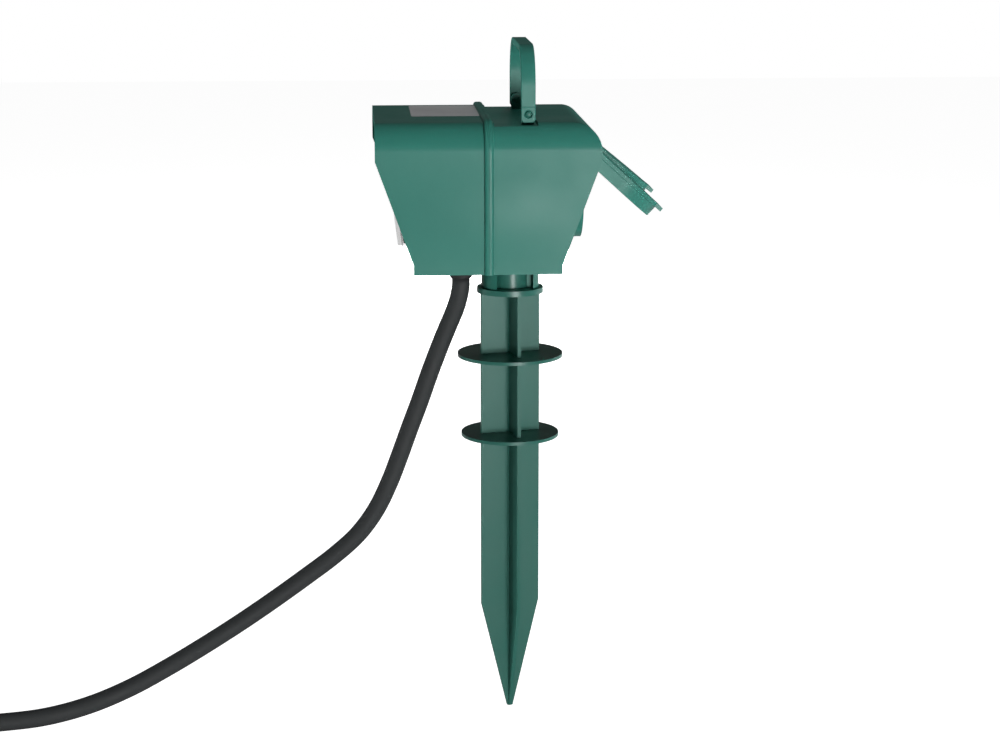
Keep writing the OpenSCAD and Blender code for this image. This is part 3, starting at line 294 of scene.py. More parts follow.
area_lamp("front_softbox", (0.45, -1.65, 0.06), HEAD_MID, (0.5, 0.4), 33)
area_lamp("top_fill", (0.1, 0.1, 1.7), (0, 0, 0.3), (0.5, 0.5), 4.5).visible_glossy = False
for name, place in {"right_fill": (1.5, 0.6, 0.18), "left_fill": (-1.5, 0.6, 0.18),
                    "back_fill": (0.3, 1.6, 0.15)}.items():
    area_lamp(name, place, HEAD_MID, (0.7, 0.25), 18).visible_glossy = False
print("lamps", [lamp.name for lamp in bpy.data.lights])

# %% [markdown]
# The white behind comes from the world and the floor as the camera sees them, not from more light.
# Rays that go through something clear see the same white. Mirrored rays see a faint share of it: a
# full one would turn the roof grey, which the photograph shows dark.

# %% World and floor
AMBIENT, MIRRORED = 0.02, 0.06
world = bpy.data.worlds.new("studio")
bpy.context.scene.world = world
world.use_nodes = True
sky = world.node_tree
sky.nodes.clear()
rays = add(sky, "ShaderNodeLightPath")
seen = add(sky, "ShaderNodeMath", {0: rays.outputs["Is Camera Ray"], 1: rays.outputs["Is Transmission Ray"]},
           operation="MAXIMUM")
sheen = add(sky, "ShaderNodeMath", {0: rays.outputs["Is Glossy Ray"], 1: MIRRORED}, operation="MULTIPLY")
shown = add(sky, "ShaderNodeMath", {0: seen.outputs[0], 1: sheen.outputs[0]}, operation="MAXIMUM")
dim = add(sky, "ShaderNodeBackground", {"Color": colour("#ffffff"), "Strength": AMBIENT})
white = add(sky, "ShaderNodeBackground", {"Color": colour("#ffffff"), "Strength": 1.0})
mixed = add(sky, "ShaderNodeMixShader", {0: shown.outputs[0], 1: dim.outputs[0], 2: white.outputs[0]})
add(sky, "ShaderNodeOutputWorld", {"Surface": mixed.outputs[0]})
bpy.context.scene.view_settings.view_transform = "Standard"

bpy.ops.mesh.primitive_plane_add(size=8, location=(0, 0, -0.0005))
floor = bpy.context.object
floor.name = "floor"
floor_paint, tree = new_material("white_studio_floor")
rays = add(tree, "ShaderNodeLightPath")
glow = add(tree, "ShaderNodeMath", {0: rays.outputs["Is Camera Ray"], 1: 0.95}, operation="MULTIPLY")
put_out(tree, add(tree, "ShaderNodeBsdfPrincipled", {"Base Color": colour("#f4f4f4"), "Roughness": 0.9,
                                                     "Specular IOR Level": 0.1,
                                                     "Emission Color": colour("#ffffff"),
                                                     "Emission Strength": glow.outputs[0]}))
floor.data.materials.append(floor_paint)
print("world", world.name, "and", floor.name)

# %% [markdown]
# Every piece ends in the same way. Its mesh is closed and its faces point outwards. Then it gets its
# material, it is hung on the body that carries it, and the CAD nodes it stands for are hidden.

# %% Finish and settle a piece
def finish_mesh(name, mesh):
    data = bpy.data.meshes.new(name)
    bmesh.ops.recalc_face_normals(mesh, faces=mesh.faces)
    mesh.to_mesh(data)
    mesh.free()
    made = bpy.data.objects.new(name, data)
    bpy.context.collection.objects.link(made)
    return made


def settle(piece, body, slot, material, *nodes):
    piece.data.materials.clear()
    piece.data.materials.append(material)
    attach(piece, body)
    if nodes:
        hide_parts(*nodes)
    return piece


def smooth(piece, angle=35):
    piece.data.shade_smooth()
    piece.data.set_sharp_from_angle(angle=math.radians(angle))
    return piece


def frozen(piece):
    return bpy.data.meshes.new_from_object(piece.evaluated_get(bpy.context.evaluated_depsgraph_get()))


def joined(name, pieces):
    mesh = bmesh.new()
    for piece in pieces:
        mesh.from_mesh(piece.data)
        bpy.data.objects.remove(piece)
    return smooth(finish_mesh(name, mesh))


# %% [markdown]
# Two small builders serve the rest. A turned piece is a profile of radius against length, swept round
# an axis, as a lathe or a round mould makes it. A rounded plate is a flat outline with soft corners
# and a soft rim. Both are written straight into a mesh, so that they sit in place from the start.
# Their sizes are in millimetres.

# %% Turned pieces and rounded plates
def skin(mesh, hoops):
    for a, b in zip(hoops, hoops[1:]):
        for k in range(len(a)):
            j = (k + 1) % len(a)
            mesh.faces.new((a[k], a[j], b[j], b[k]))


def turned(name, profile, at, way, sides=48):
    mesh = bmesh.new()
    way = Vector(way).normalized()
    side = way.orthogonal().normalized()
    up = way.cross(side)
    spokes = [math.cos(a) * side + math.sin(a) * up for a in (2 * math.pi * k / sides for k in range(sides))]
    rings = []
    for r, run in profile:
        middle = Vector(at) + way * run * MM
        rings.append([mesh.verts.new(middle + r * MM * spoke) for spoke in spokes] if r
                     else [mesh.verts.new(middle)])
    for a, b in zip(rings, rings[1:]):
        for k in range(sides):
            j = k + 1
            corners = (a[k % len(a)], a[j % len(a)], b[j % len(b)], b[k % len(b)])
            mesh.faces.new(list(dict.fromkeys(corners)))
    bmesh.ops.remove_doubles(mesh, verts=mesh.verts, dist=1e-6)
    return smooth(finish_mesh(name, mesh))


def rounded_plate(name, size, corner, thick, soft, place):
    mesh = bmesh.new()
    levels = []
    for inset, height in ((0, 0), (0, thick - soft), (0.3 * soft, thick - 0.3 * soft), (soft, thick)):
        level = []
        for cx, cy, start in ((1, 1, 0), (-1, 1, 90), (-1, -1, 180), (1, -1, 270)):
            for k in range(6):
                a = math.radians(start + 18 * k)
                spot = Vector((cx * (size[0] / 2 - corner) + (corner - inset) * math.cos(a),
                               cy * (size[1] / 2 - corner) + (corner - inset) * math.sin(a), height))
                level.append(mesh.verts.new(place @ (spot * MM)))
        levels.append(level)
    skin(mesh, levels)
    mesh.faces.new(list(reversed(levels[0])))
    mesh.faces.new(levels[-1])
    return smooth(finish_mesh(name, mesh), 40)


# %% [markdown]
# The plug's grip ribs, the timer's tappets, the ribs of its knob and its hour ticks are each one
# shape repeated round a circle. One Geometry Nodes tree makes all of them, with the count, radius
# and shape as its inputs. TO_REAR turns a ring to face backwards, along -X.

# %% A ring of copies
def block(name, size, soft):
    mesh = bmesh.new()
    bmesh.ops.create_cube(mesh, size=1)
    bmesh.ops.scale(mesh, vec=Vector(size) * MM, verts=mesh.verts)
    bmesh.ops.bevel(mesh, geom=mesh.edges, offset=soft * MM, segments=1, affect="EDGES")
    return finish_mesh(name, mesh)


ring_tree = bpy.data.node_groups.new("ring_of_copies", "GeometryNodeTree")
ring_tree.is_modifier = True
for title, kind in (("Copies", "Int"), ("Radius", "Float"), ("Phase", "Float"), ("Part", "Object"),
                    ("Place", "Vector"), ("Turn", "Vector"), ("Finish", "Material")):
    ring_tree.interface.new_socket(title, in_out="INPUT", socket_type="NodeSocket" + kind)
RING_INPUT = {item.name: item.identifier for item in ring_tree.interface.items_tree}
ring_tree.interface.new_socket("Geometry", in_out="OUTPUT", socket_type="NodeSocketGeometry")
given = add(ring_tree, "NodeGroupInput").outputs
circle = add(ring_tree, "GeometryNodeMeshCircle", {"Vertices": given["Copies"], "Radius": given["Radius"]})
phase = add(ring_tree, "ShaderNodeCombineXYZ", {"Z": given["Phase"]})
started = add(ring_tree, "GeometryNodeTransform", {"Geometry": circle.outputs[0],
                                                   "Rotation": phase.outputs[0]})
spoke = add(ring_tree, "GeometryNodeInputPosition")
facing = add(ring_tree, "FunctionNodeAlignRotationToVector", {"Vector": spoke.outputs[0]},
             axis="X", pivot_axis="Z")
shape = add(ring_tree, "GeometryNodeObjectInfo", {"Object": given["Part"]})
spread = add(ring_tree, "GeometryNodeInstanceOnPoints", {"Points": started.outputs[0],
                                                         "Instance": shape.outputs["Geometry"],
                                                         "Rotation": facing.outputs[0]})
stood = add(ring_tree, "GeometryNodeTransform", {"Geometry": spread.outputs[0],
                                                 "Translation": given["Place"], "Rotation": given["Turn"]})
solid = add(ring_tree, "GeometryNodeRealizeInstances", {"Geometry": stood.outputs[0]})
painted = add(ring_tree, "GeometryNodeSetMaterial", {"Geometry": solid.outputs[0],
                                                     "Material": given["Finish"]})
add(ring_tree, "NodeGroupOutput", {"Geometry": painted.outputs[0]})
TO_REAR = (0.0, -math.pi / 2, 0.0)


def ring_of_copies(name, part, copies, radius_mm, place, finish, phase=0.0):
    holder = bpy.data.objects.new(name, bpy.data.meshes.new(name))
    bpy.context.collection.objects.link(holder)
    ring = holder.modifiers.new("ring", "NODES")
    ring.node_group = ring_tree
    for title, value in {"Copies": copies, "Radius": radius_mm * MM, "Phase": phase, "Part": part,
                         "Place": place, "Turn": TO_REAR, "Finish": finish}.items():
        ring[RING_INPUT[title]] = value
    made = frozen(holder)
    holder.modifiers.remove(ring)
    holder.data = made
    bpy.data.objects.remove(part)
    print(name, copies, "copies,", len(made.polygons), "faces")
    return smooth(holder)


# %% [markdown]
# The cord is a round rubber cable 10 mm thick. It leaves the boot under the head, falls to the
# ground in one slack curve, and the length that the photograph doesn't show lies in a flat coil of
# two layers, with a tie. The route is in metres, as the CAD solids have it.

# %% The cord's route
CORD_THICK = 0.010
COIL_CENTRE = (-0.385, 0.028)
COIL_R = 0.063
COIL_LOW = 0.0066
COIL_STEP = 0.0108
LAYER_TURNS, CLIMB_TURNS = 1.25, 0.5
COIL_TURNS = 2 * LAYER_TURNS + CLIMB_TURNS
POINTS_A_TURN = 24
PLUG_AT = Vector((-0.435, -0.035, 0.0192))
ROUTE = [(-0.0270, 0, 0.2479), (-0.0270, 0, 0.2440), (-0.0282, 0, 0.2370), (-0.0304, 0, 0.2300),
         (-0.0340, 0, 0.2215), (-0.0385, 0, 0.2105), (-0.0444, 0, 0.1950), (-0.0500, 0, 0.1790),
         (-0.0560, 0, 0.1630), (-0.0616, 0, 0.1475), (-0.0676, 0, 0.1320), (-0.0752, 0, 0.1165),
         (-0.0855, 0, 0.1025), (-0.0990, 0, 0.0903), (-0.1140, 0, 0.0790), (-0.1310, -0.0010, 0.0670),
         (-0.1500, -0.0030, 0.0545), (-0.1700, -0.0060, 0.0425), (-0.1910, -0.0100, 0.0310),
         (-0.2130, -0.0150, 0.0205), (-0.2360, -0.0200, 0.0125), (-0.2600, -0.0250, 0.0080),
         (-0.2850, -0.0290, 0.0068), (-0.3120, -0.0324, 0.0066), (-0.3400, -0.0344, 0.0066)]


def coil_point(turn):
    r = COIL_R - COIL_STEP * (COIL_TURNS / 2 - abs(turn - COIL_TURNS / 2))
    angle = math.radians(-90 - 360 * turn)
    climb = max(0.0, min(1.0, (turn - LAYER_TURNS) / CLIMB_TURNS))
    rise = COIL_STEP * climb * climb * (3 - 2 * climb)
    return Vector((COIL_CENTRE[0] + r * math.cos(angle), COIL_CENTRE[1] + r * math.sin(angle),
                   COIL_LOW + rise))


def smooth_path(points, step):
    path = []
    points = [Vector(p) for p in points]
    ends = [2 * points[0] - points[1]] + points + [2 * points[-1] - points[-2]]
    for a, b, c, d in zip(ends, ends[1:], ends[2:], ends[3:]):
        count = max(1, round((c - b).length / step))
        for i in range(count):
            t = i / count
            path.append(0.5 * (2 * b + (c - a) * t + (2 * a - 5 * b + 4 * c - d) * t * t
                               + (3 * b - a - 3 * c + d) * t ** 3))
    return path + [points[-1]]


turns = [coil_point(i / POINTS_A_TURN) for i in range(round(COIL_TURNS * POINTS_A_TURN) + 1)]
top = COIL_LOW + COIL_STEP
lead = [Vector((PLUG_AT.x + 0.0325, PLUG_AT.y, top)), Vector((PLUG_AT.x + 0.015, PLUG_AT.y, PLUG_AT.z)),
        PLUG_AT + Vector((0.0001, 0, 0))]
start = Vector((COIL_CENTRE[0] + 0.012, COIL_CENTRE[1] - COIL_R, COIL_LOW))
cord_path = smooth_path(ROUTE + [start] + turns + lead, 0.004)

# %% [markdown]
# A bevelled curve would do for a round cord. A swept mesh tube is used instead, because it gives
# each ring a length along the cord, which a pattern can follow, and it doesn't twist at the coil.

# %% Cord
def tube_mesh(name, path, radius, sides):
    mesh = bmesh.new()
    around = mesh.loops.layers.uv.new("along")
    ahead = [(path[min(i + 1, len(path) - 1)] - path[max(i - 1, 0)]).normalized() for i in range(len(path))]
    side = ahead[0].orthogonal().normalized()
    rings, run, runs = [], 0.0, []
    for i, (point, way) in enumerate(zip(path, ahead)):
        side = (side - way * side.dot(way)).normalized()
        up = way.cross(side)
        run += (point - path[i - 1]).length if i else 0.0
        runs.append(run)
        rings.append([mesh.verts.new(point + radius * (math.cos(a) * side + math.sin(a) * up))
                      for a in (2 * math.pi * k / sides for k in range(sides))])
    for i in range(len(rings) - 1):
        for k in range(sides):
            j = (k + 1) % sides
            face = mesh.faces.new((rings[i][k], rings[i][j], rings[i + 1][j], rings[i + 1][k]))
            face.smooth = True
            for loop, uv in zip(face.loops, ((k, i), (k + 1, i), (k + 1, i + 1), (k, i + 1))):
                loop[around].uv = (uv[0] / sides, runs[uv[1]])
    mesh.faces.new(list(reversed(rings[0])))
    mesh.faces.new(rings[-1])
    return finish_mesh(name, mesh)


cord = settle(tube_mesh("rubber_cord", cord_path, CORD_THICK / 2, 20), "post", "cord_sheath", cord_rubber,
              "cord_free", "cord_coil")
print("cord of", len(cord.data.polygons), "faces")

# %% [markdown]
# The cord ends in a moulded rubber plug. Its body is turned, with strain-relief rings towards the
# cord, grip ribs round its waist, two plated pins and a brass earth strip above and below. Each
# profile is a list of radius and length.

# %% Plug
BACKWARDS = (-1, 0, 0)
profile = [(0, 0), (6.3, 0), (7.1, 0.4)]
for k in range(5):
    r = 7.4 + 0.28 * k
    profile += [(r, 3.3 * k + 1.0), (r, 3.3 * k + 2.6), (r - 0.25, 3.3 * k + 2.9), (r - 1.0, 3.3 * k + 3.1),
                (r - 1.0, 3.3 * k + 3.9)]
profile += [(9.3, 17.9), (10.6, 19.6), (13.0, 22.0), (16.2, 25.2), (18.0, 28.0), (18.5, 30.5), (18.5, 46.2),
            (18.95, 46.8), (18.95, 56.0), (18.5, 57.3), (17.4, 58.0), (0, 58.0)]
plug = settle(turned("plug_moulding", profile, PLUG_AT, BACKWARDS, 64), "post", "cord_sheath", cord_rubber,
              "plug_body")
grip = settle(ring_of_copies("plug_grip_ribs", block("rib", (1.0, 2.4, 13.5), 0.35), 22, 18.6,
                             PLUG_AT + Vector((-0.0384, 0, 0)), cord_rubber),
              "post", "cord_sheath", cord_rubber)
pin_shape = [(0, 0), (2.4, 0), (2.4, 17.2), (2.2, 18.5), (1.6, 19.5), (0.7, 20.0), (0, 20.0)]
prongs = [turned("prong", pin_shape, PLUG_AT + Vector((-0.057, s * 0.0095, 0)), BACKWARDS, 32) for s in (-1, 1)]
plug_prongs = settle(joined("plug_prongs", prongs), "post", "steel", zinc_steel, "plug_pins")
strips = [rounded_plate("strip", (11, 6), 0.6, 0.6, 0.2,
                        Matrix.Translation(PLUG_AT + Vector((-0.0515, 0, s * 0.0185)))
                        @ Matrix.Rotation(0 if s > 0 else math.pi, 4, "X")) for s in (-1, 1)]
earth_strips = settle(joined("plug_earth_strips", strips), "post", "brass", brass)

# %% [markdown]
# A plastic band with a buckle holds the coil. The band is a loop with round corners, carried through
# a thin flat section.

# %% Tie
TIE_THICK, TIE_CORNER, TIE_SOFT = 1.2, 6.4, 0.25
low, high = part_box("coil_tie")


def tie_loop(inset, y):
    loop = []
    for cx, cz, start in ((1, 1, 0), (0, 1, 90), (0, 0, 180), (1, 0, 270)):
        middle = [high[0] if cx else low[0], high[2] if cz else low[2]]
        middle[0] += (-1 if cx else 1) * TIE_CORNER * MM
        middle[1] += (-1 if cz else 1) * TIE_CORNER * MM
        for k in range(7):
            a = math.radians(start + 15 * k)
            loop.append(Vector((middle[0] + (TIE_CORNER - inset) * MM * math.cos(a), y,
                                middle[1] + (TIE_CORNER - inset) * MM * math.sin(a))))
    return loop


mesh = bmesh.new()
loops = [[mesh.verts.new(p) for p in tie_loop(inset, y)] for inset, y in (
    (TIE_SOFT, low[1]), (0, low[1] + 0.4 * MM), (0, high[1] - 0.4 * MM), (TIE_SOFT, high[1]),
    (TIE_THICK, high[1]), (TIE_THICK, low[1]))]
skin(mesh, loops + loops[:1])
band = smooth(finish_mesh("band", mesh))
buckle_at = Vector(((low[0] + high[0]) / 2, (low[1] + high[1]) / 2, high[2] - 0.5 * MM))
buckle = rounded_plate("buckle", (9, 8.4), 1.2, 2.4, 0.5, Matrix.Translation(buckle_at))
tie = settle(joined("cord_tie", [band, buckle]), "post", "black_plastic", black_pa, "coil_tie")
print("tie of", len(tie.data.polygons), "faces")

# %% [markdown]
# Three pieces are bent a little before their edges are softened. The cheeks of the shells get a crown
# of just under a millimetre, because a flat plate this size would shrink hollow. Their lower corners
# stand out by two to three millimetres, so that the walls behind them don't show. The clear cover
# bows in at its lower end. For that the copied meshes are first sliced across.

# %% Crowned cheeks and bowed cover
HEAD_HALF, EDGE_R, ROOF, CHEEK_LOW, SEAM_X = 59.0, 14.0, 338.0, 259.5, -15.0
CHEEK_CROWN = 1.4
HOOD_HALF, TOE_HALF, UPRIGHT_Z, TOE_Z, CHEEK_WALL = 59.0, 36.5, 319.0, 264.5, 3.0
TOE_REAR, TOE_FRONT, NEAR = 2.8, 2.2, 0.2
COVER_MID, COVER_HALF, COVER_BOW, COVER_WALL = 301.0, 32.0, 1.9, 2.3


def slice_across(mesh, axis, places_mm):
    way = Vector((axis == "X", axis == "Y", axis == "Z"))
    for place in places_mm:
        everything = mesh.verts[:] + mesh.edges[:] + mesh.faces[:]
        bmesh.ops.bisect_plane(mesh, geom=everything, plane_co=way * place * MM, plane_no=way)


def cheek_crown(x_mm, z_mm):
    half_high = (ROOF - EDGE_R - CHEEK_LOW) / 2
    up = min(1.0, abs(z_mm - CHEEK_LOW - half_high) / half_high)
    along = min(1.0, abs(x_mm - SEAM_X) / (HEAD_HALF + 4))
    return CHEEK_CROWN * (1 - up * up) ** 2 * (1 - along * along) ** 2


def widen_toe(v):
    x, z = v.co.x / MM - SEAM_X, v.co.z / MM
    down = max(0.0, min(1.0, (UPRIGHT_Z - z) / (UPRIGHT_Z - TOE_Z)))
    edge = HOOD_HALF + (TOE_HALF - HOOD_HALF) * down
    if abs(v.co.y) > (HEAD_HALF - CHEEK_WALL - NEAR) * MM and abs(abs(x) - edge) < NEAR:
        v.co.x += (TOE_FRONT if x > 0 else -TOE_REAR) * down * MM


def crown_cheeks(mesh):
    slice_across(mesh, "Z", [CHEEK_LOW + 5 * k for k in range(1, 13)])
    slice_across(mesh, "X", [SEAM_X + 9 * k for k in range(-6, 7) if k])
    for v in mesh.verts:
        widen_toe(v)
        if abs(v.co.y) > (HEAD_HALF - 0.05) * MM:
            v.co.y += math.copysign(cheek_crown(v.co.x / MM, v.co.z / MM) * MM, v.co.y)


def bow_cover(mesh):
    slice_across(mesh, "Z", [COVER_MID - 3.5 * k for k in range(9)])
    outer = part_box("timer_cover")[0][0] + COVER_WALL * MM
    for v in mesh.verts:
        drop = (COVER_MID - v.co.z / MM) / COVER_HALF
        if v.co.x < outer and drop > 0:
            v.co.x += COVER_BOW * drop ** 3 * MM


print("crown at the seam", round(cheek_crown(SEAM_X, (ROOF - EDGE_R + CHEEK_LOW) / 2), 2), "mm")

# %% [markdown]
# A moulding has no knife edges: each corner has a radius of half a millimetre or so, and the thin
# bright line along it is what makes it look moulded. The hard pieces are copied from the CAD nodes,
# their flat faces are joined, and a small bevel runs along every sharp edge. The handle, the lids
# and the stake take their worn finishes here.

# %% Softened mouldings
def softened(node, width_mm, material, segments=2, reshape=None):
    mesh = bmesh.new()
    mesh.from_mesh(frame["nodes"][node].data)
    bmesh.ops.remove_doubles(mesh, verts=mesh.verts, dist=1e-6)
    bmesh.ops.dissolve_limit(mesh, angle_limit=math.radians(0.6), verts=mesh.verts, edges=mesh.edges)
    if reshape:
        reshape(mesh)
    piece = finish_mesh(node + "_moulding", mesh)
    bevel = piece.modifiers.new("edges", "BEVEL")
    bevel.width = width_mm * MM
    bevel.segments = segments
    bevel.limit_method = "ANGLE"
    bevel.angle_limit = math.radians(24)
    smooth(piece)
    piece.modifiers.new("flat_faces_lead", "WEIGHTED_NORMAL").keep_sharp = True
    shaped = frozen(piece)
    piece.modifiers.clear()
    piece.data = shaped
    settle(piece, BODY_OF[node], SLOT_OF[node], material, node)
    print(piece.name, len(shaped.polygons), "faces")


WORN = {"handle": smooth_abs, "near_lid": smooth_abs, "far_lid": smooth_abs, "stake": stake_abs}
for node in ("front_shell", "rear_shell"):
    softened(node, 0.6, green_abs, 2, crown_cheeks)
for node, width in {"handle": 0.7, "stake": 0.5, "stake_neck": 0.4,
                    "near_lid": 0.45, "far_lid": 0.45, "timer_case": 0.3, "near_socket_insert": 0.25,
                    "far_socket_insert": 0.25, "override_slide": 0.3, "timer_dial": 0.15}.items():
    softened(node, width, WORN.get(node, FINISH[SLOT_OF[node]]))
softened("timer_cover", 0.5, clear_pc, 3, bow_cover)

# %% [markdown]
# Where the two shells meet, a raised bead runs over the roof and down both cheeks. On the real
# moulding it is half round with a fine parting line on its crown. It follows the section of the
# head, so its path is that section: straight up the cheek, round the edge radius and over the roof.

# %% Seam bead
BEAD_HALF, BEAD_HIGH, BEAD_ROOT = 2.45, 1.75, -0.4


def head_path():
    cheek = [CHEEK_LOW + (ROOF - EDGE_R - CHEEK_LOW) * k / 16 for k in range(16)]
    path = [(-HEAD_HALF - cheek_crown(SEAM_X, z), z, -1, 0) for z in cheek]
    for s, first in ((-1, 180), (1, 90)):
        for k in range(13):
            a = math.radians(first - 7.5 * k)
            path.append((s * (HEAD_HALF - EDGE_R) + EDGE_R * math.cos(a),
                         ROOF - EDGE_R + EDGE_R * math.sin(a), math.cos(a), math.sin(a)))
    return path + [(HEAD_HALF + cheek_crown(SEAM_X, z), z, 1, 0) for z in reversed(cheek)]


def bead_section():
    section = [(-BEAD_HALF, BEAD_ROOT)]
    for k in range(17):
        x = -math.cos(math.pi * k / 16)
        section.append((BEAD_HALF * x, BEAD_HIGH * (1 - abs(x) ** 3) ** (1 / 3)))
    crown = section.index(min(section, key=lambda p: abs(p[0])))
    section[crown:crown + 1] = [(-0.2, BEAD_HIGH), (0, BEAD_HIGH - 0.3), (0.2, BEAD_HIGH)]
    return section + [(BEAD_HALF, BEAD_ROOT)]


mesh = bmesh.new()
hoops = [[mesh.verts.new(Vector((SEAM_X + x, y + ny * out, z + nz * out)) * MM) for x, out in bead_section()]
         for y, z, ny, nz in head_path()]
skin(mesh, hoops)
mesh.faces.new(list(reversed(hoops[0])))
mesh.faces.new(hoops[-1])
settle(smooth(finish_mesh("seam_bead", mesh)), "post", "green_plastic", green_abs)
print("bead over", len(hoops), "sections")

# %% [markdown]
# On the roof sits a foil label. It stays blank here: a brushed silver polyester with a clear varnish
# and a slightly lifted rim, which is what catches the light on such a label. The brushing shows as
# streaks some 9 mm long and 0.8 mm wide.

# %% Blank label
def label_foil(name, base, streak):
    made, tree = new_material(name)
    place = add(tree, "ShaderNodeTexCoord").outputs["Object"]
    along = add(tree, "ShaderNodeMapping", {"Vector": place, "Scale": (1 / (9 * MM), 1 / (0.8 * MM), 1)})
    brush = add(tree, "ShaderNodeTexNoise", {"Vector": along.outputs[0], "Scale": 1.0, "Detail": 4.0})
    tint = add(tree, "ShaderNodeMix", {"Factor": brush.outputs["Fac"], 6: colour(base), 7: colour(streak)},
               data_type="RGBA")
    gloss = add(tree, "ShaderNodeMapRange", {"Value": brush.outputs["Fac"], "From Min": NOISE_LOW,
                                             "From Max": NOISE_HIGH, "To Min": 0.34, "To Max": 0.5})
    shader = add(tree, "ShaderNodeBsdfPrincipled", {"Base Color": tint.outputs[2], "Metallic": 0.1,
                                                    "Roughness": gloss.outputs[0], "Coat Weight": 0.3})
    put_out(tree, shader)
    return made


# Brushed foil under varnish: pale silver with a soft, streaky shine.
silver_foil = label_foil("silver_polyester_label_foil", "#f4f4f5", "#e6e6e9")
LABEL_MID, LABEL_SIZE = (-35.7, 12.5), (36.5, 57.0)
label = rounded_plate("blank_label", LABEL_SIZE, 2.0, 0.2, 0.08,
                      Matrix.Translation(Vector((*LABEL_MID, ROOF - 0.02)) * MM))
settle(label, "post", "grey_plastic", silver_foil)
print("label of", LABEL_SIZE, "mm")

# %% [markdown]
# The handle turns on two short plastic pins. Their heads are turned with a dome and a narrow step,
# which leaves a dark ring round each head in the handle's leg.

# %% Handle pins
PIN_LEN, PIN_STEP = 7.5, 0.45
low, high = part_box("handle_pins")
pin_r = (high[0] - low[0]) / 2 / MM
pin_mid = Vector(((low[0] + high[0]) / 2, 0, (low[2] + high[2]) / 2))
profile = [(0, 0), (pin_r, 0), (pin_r, PIN_LEN - 1.3), (pin_r - PIN_STEP, PIN_LEN - 1.2),
           (pin_r - PIN_STEP, PIN_LEN - 0.4), (pin_r - 0.7, PIN_LEN - 0.1), (0.5 * pin_r, PIN_LEN),
           (0, PIN_LEN)]
pins = [turned("pin", profile, pin_mid + Vector((0, s * (high[1] - PIN_LEN * MM), 0)), (0, s, 0), 32)
        for s in (-1, 1)]
settle(joined("handle_pin_pair", pins), "post", "dark_green_plastic", dark_abs, "handle_pins")
print("pins of", round(2 * pin_r, 2), "mm")

# %% [markdown]
# A fine ridge crosses each leg of the handle above its pin, where the foot of the moulding begins.

# %% Handle ridges
RIDGE_Z = 345.4
low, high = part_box("handle")
ridges = [rounded_plate("ridge", ((high[0] - low[0]) / MM - 0.8, 0.7), 0.3, 0.5, 0.2,
                        Matrix.Translation(((low[0] + high[0]) / 2, s * (high[1] - 0.2 * MM), RIDGE_Z * MM))
                        @ Matrix.Rotation(-s * math.pi / 2, 4, "X")) for s in (-1, 1)]
settle(joined("handle_ridges", ridges), "handle", "green_plastic", smooth_abs)
print("ridges at", RIDGE_Z, "mm")

# %% [markdown]
# The timer shows through its cover: a dial with a knob, a ring of tappets that switch the sockets,
# and the hours printed round it. Each tappet is a small finger of black plastic, half an hour of the
# day. They stand round the rim of the dial and turn with it, as the knob's ribs and the ticks do.

# %% Tappets, knob ribs and ticks
KNOB_HIGH, PRINT_SUNK = 2.2, 0.05
HALF_STEP = math.radians(3.75)
low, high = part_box("timer_dial")
DIAL_MID = Vector((0, 0, (low[2] + high[2]) / 2))
DIAL_FACE = low[0] / MM + KNOB_HIGH
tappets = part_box("dial_tappets")
tappet_x = (tappets[0][0] + tappets[1][0]) / 2 / MM


def on_dial(x_mm):
    return DIAL_MID + Vector((x_mm * MM, 0, 0))


# Printing ink: a flat black film, a shade duller than the plastic under it.
print_ink = moulded_plastic("black_print_ink", "#222425", "#2a2c2d", 0.5, 0.7, 0.01)
settle(ring_of_copies("tappet_ring", block("tappet", (3.1, 1.9, 4.2), 0.3), 48, 21.85, on_dial(tappet_x),
                      black_pa, HALF_STEP), "dial", "black_plastic", black_pa, "dial_tappets")
settle(ring_of_copies("knob_ribs", block("rib", (0.7, 0.9, 2.1), 0.2), 24, 8.05,
                      on_dial(DIAL_FACE - KNOB_HIGH / 2), grey_abs), "dial", "grey_plastic", grey_abs)
settle(ring_of_copies("hour_ticks", block("tick", (1.8, 0.45, 0.3), 0.06), 24, 18.6,
                      on_dial(DIAL_FACE - PRINT_SUNK), print_ink), "dial", "black_plastic", print_ink)
settle(ring_of_copies("half_hour_ticks", block("tick", (0.9, 0.3, 0.3), 0.06), 48, 19.2,
                      on_dial(DIAL_FACE - PRINT_SUNK), print_ink, HALF_STEP),
       "dial", "black_plastic", print_ink)

# %% [markdown]
# The hours run anticlockwise, because the dial turns clockwise past a fixed arrow. Text starts as a
# flat curve, so each number is made a mesh before it is stood on the dial.

# %% Hour numbers
NUMBER_SIZE, NUMBER_R = 2.9, 15.4
FACING_REAR = Matrix(((0, 0, -1, 0), (-1, 0, 0, 0), (0, 1, 0, 0), (0, 0, 0, 1)))


def number_mesh(text, size_mm):
    curve = bpy.data.curves.new("number", "FONT")
    curve.body = text
    curve.size = size_mm * MM
    curve.align_x, curve.align_y = "CENTER", "CENTER"
    curve.resolution_u = 3
    curve.extrude = 0.06 * MM
    holder = bpy.data.objects.new("number", curve)
    bpy.context.collection.objects.link(holder)
    made = frozen(holder)
    bpy.data.objects.remove(holder)
    return made


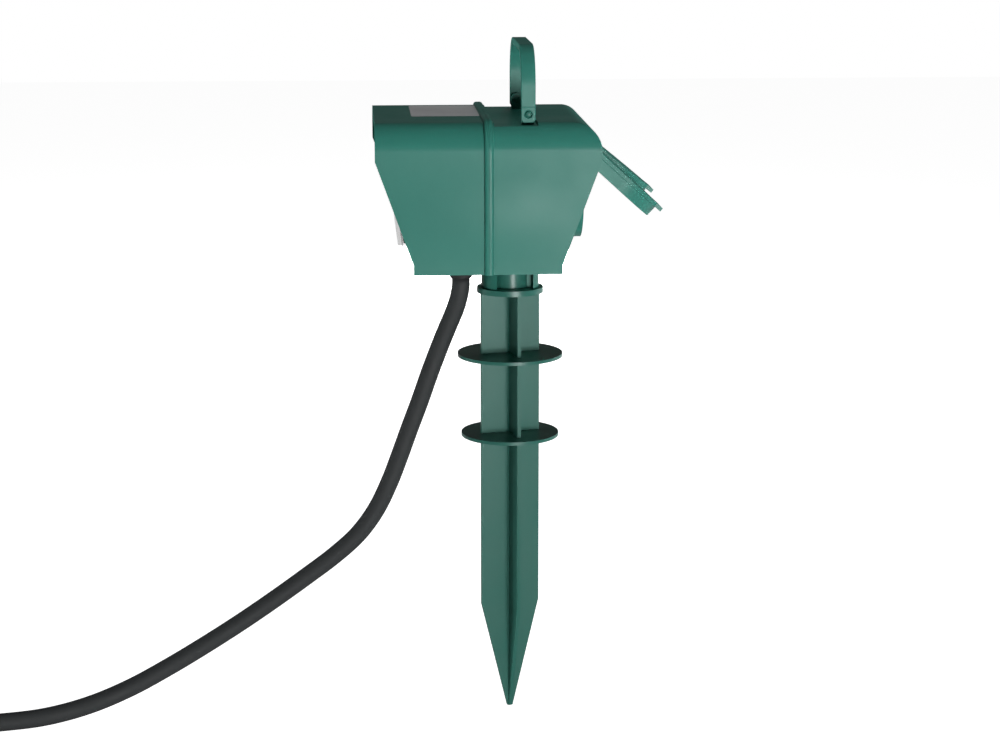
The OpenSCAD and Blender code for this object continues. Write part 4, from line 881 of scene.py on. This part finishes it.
mesh = bmesh.new()
for hour in range(1, 25):
    around = Matrix.Rotation(math.radians(15 * hour), 4, "Z")
    flat = number_mesh(str(hour), NUMBER_SIZE)
    flat.transform(Matrix.Translation(on_dial(DIAL_FACE - 0.04)) @ FACING_REAR @ around
                   @ Matrix.Translation((0, NUMBER_R * MM, 0)))
    mesh.from_mesh(flat)
    bpy.data.meshes.remove(flat)
settle(finish_mesh("hour_numbers", mesh), "dial", "black_plastic", print_ink)
print("numbers 1 to 24 on the dial")

# %% [markdown]
# The arrow that the hours pass is a small printed triangle on the timer's case, so it rides on the
# post and stays still when the dial turns.

# %% Time arrow
case_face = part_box("timer_case")[0][0] / MM
mesh = bmesh.new()
corners = [mesh.verts.new(Vector((case_face - 0.15, y, z)) * MM)
           for y, z in ((-1.4, 327.6), (1.4, 327.6), (0, 325.7))]
roots = [mesh.verts.new(v.co + Vector((0.25 * MM, 0, 0))) for v in corners]
mesh.faces.new(corners)
mesh.faces.new(list(reversed(roots)))
skin(mesh, [corners, roots])
settle(finish_mesh("time_arrow", mesh), "post", "black_plastic", print_ink)
print("arrow on the case at x", round(case_face, 2), "mm")

# %% [markdown]
# The cord leaves through a ribbed rubber boot, which spreads a pull over a longer bend. It is turned
# as one profile: the rim in the floor of the head, then ribs that grow thinner towards the cord.

# %% Cord boot
low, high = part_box("cord_grommet")
boot_mid = Vector(((low[0] + high[0]) / 2, 0, low[2]))
lip_r = (high[0] - low[0]) / 2 / MM
bore = CORD_THICK / 2 / MM + 0.08
profile = [(bore, 0), (bore + 0.5, 0), (bore + 1.0, 0.4)]
for k in range(5):
    r = bore + 1.1 + 0.2 * k
    profile += [(r - 0.1, 2.7 * k + 0.6), (r, 2.7 * k + 0.9), (r, 2.7 * k + 2.0), (r - 0.15, 2.7 * k + 2.3),
                (r - 0.6, 2.7 * k + 2.5), (r - 0.6, 2.7 * k + 2.9)]
hole_r = lip_r - 1.0
profile += [(hole_r, 14.6), (lip_r - 0.3, 14.8), (lip_r, 15.1), (lip_r, 15.8), (lip_r - 0.2, 16), (hole_r, 16),
            (hole_r, 18.6), (lip_r, 18.6), (lip_r, 20.6), (bore, 20.6), (bore, 0)]
settle(turned("cord_boot", profile, boot_mid, (0, 0, 1)), "post", "black_rubber", seal_rubber, "cord_grommet")
print("boot", round((high[2] - low[2]) / MM, 1), "mm long, lip", round(2 * lip_r, 1), "mm wide")
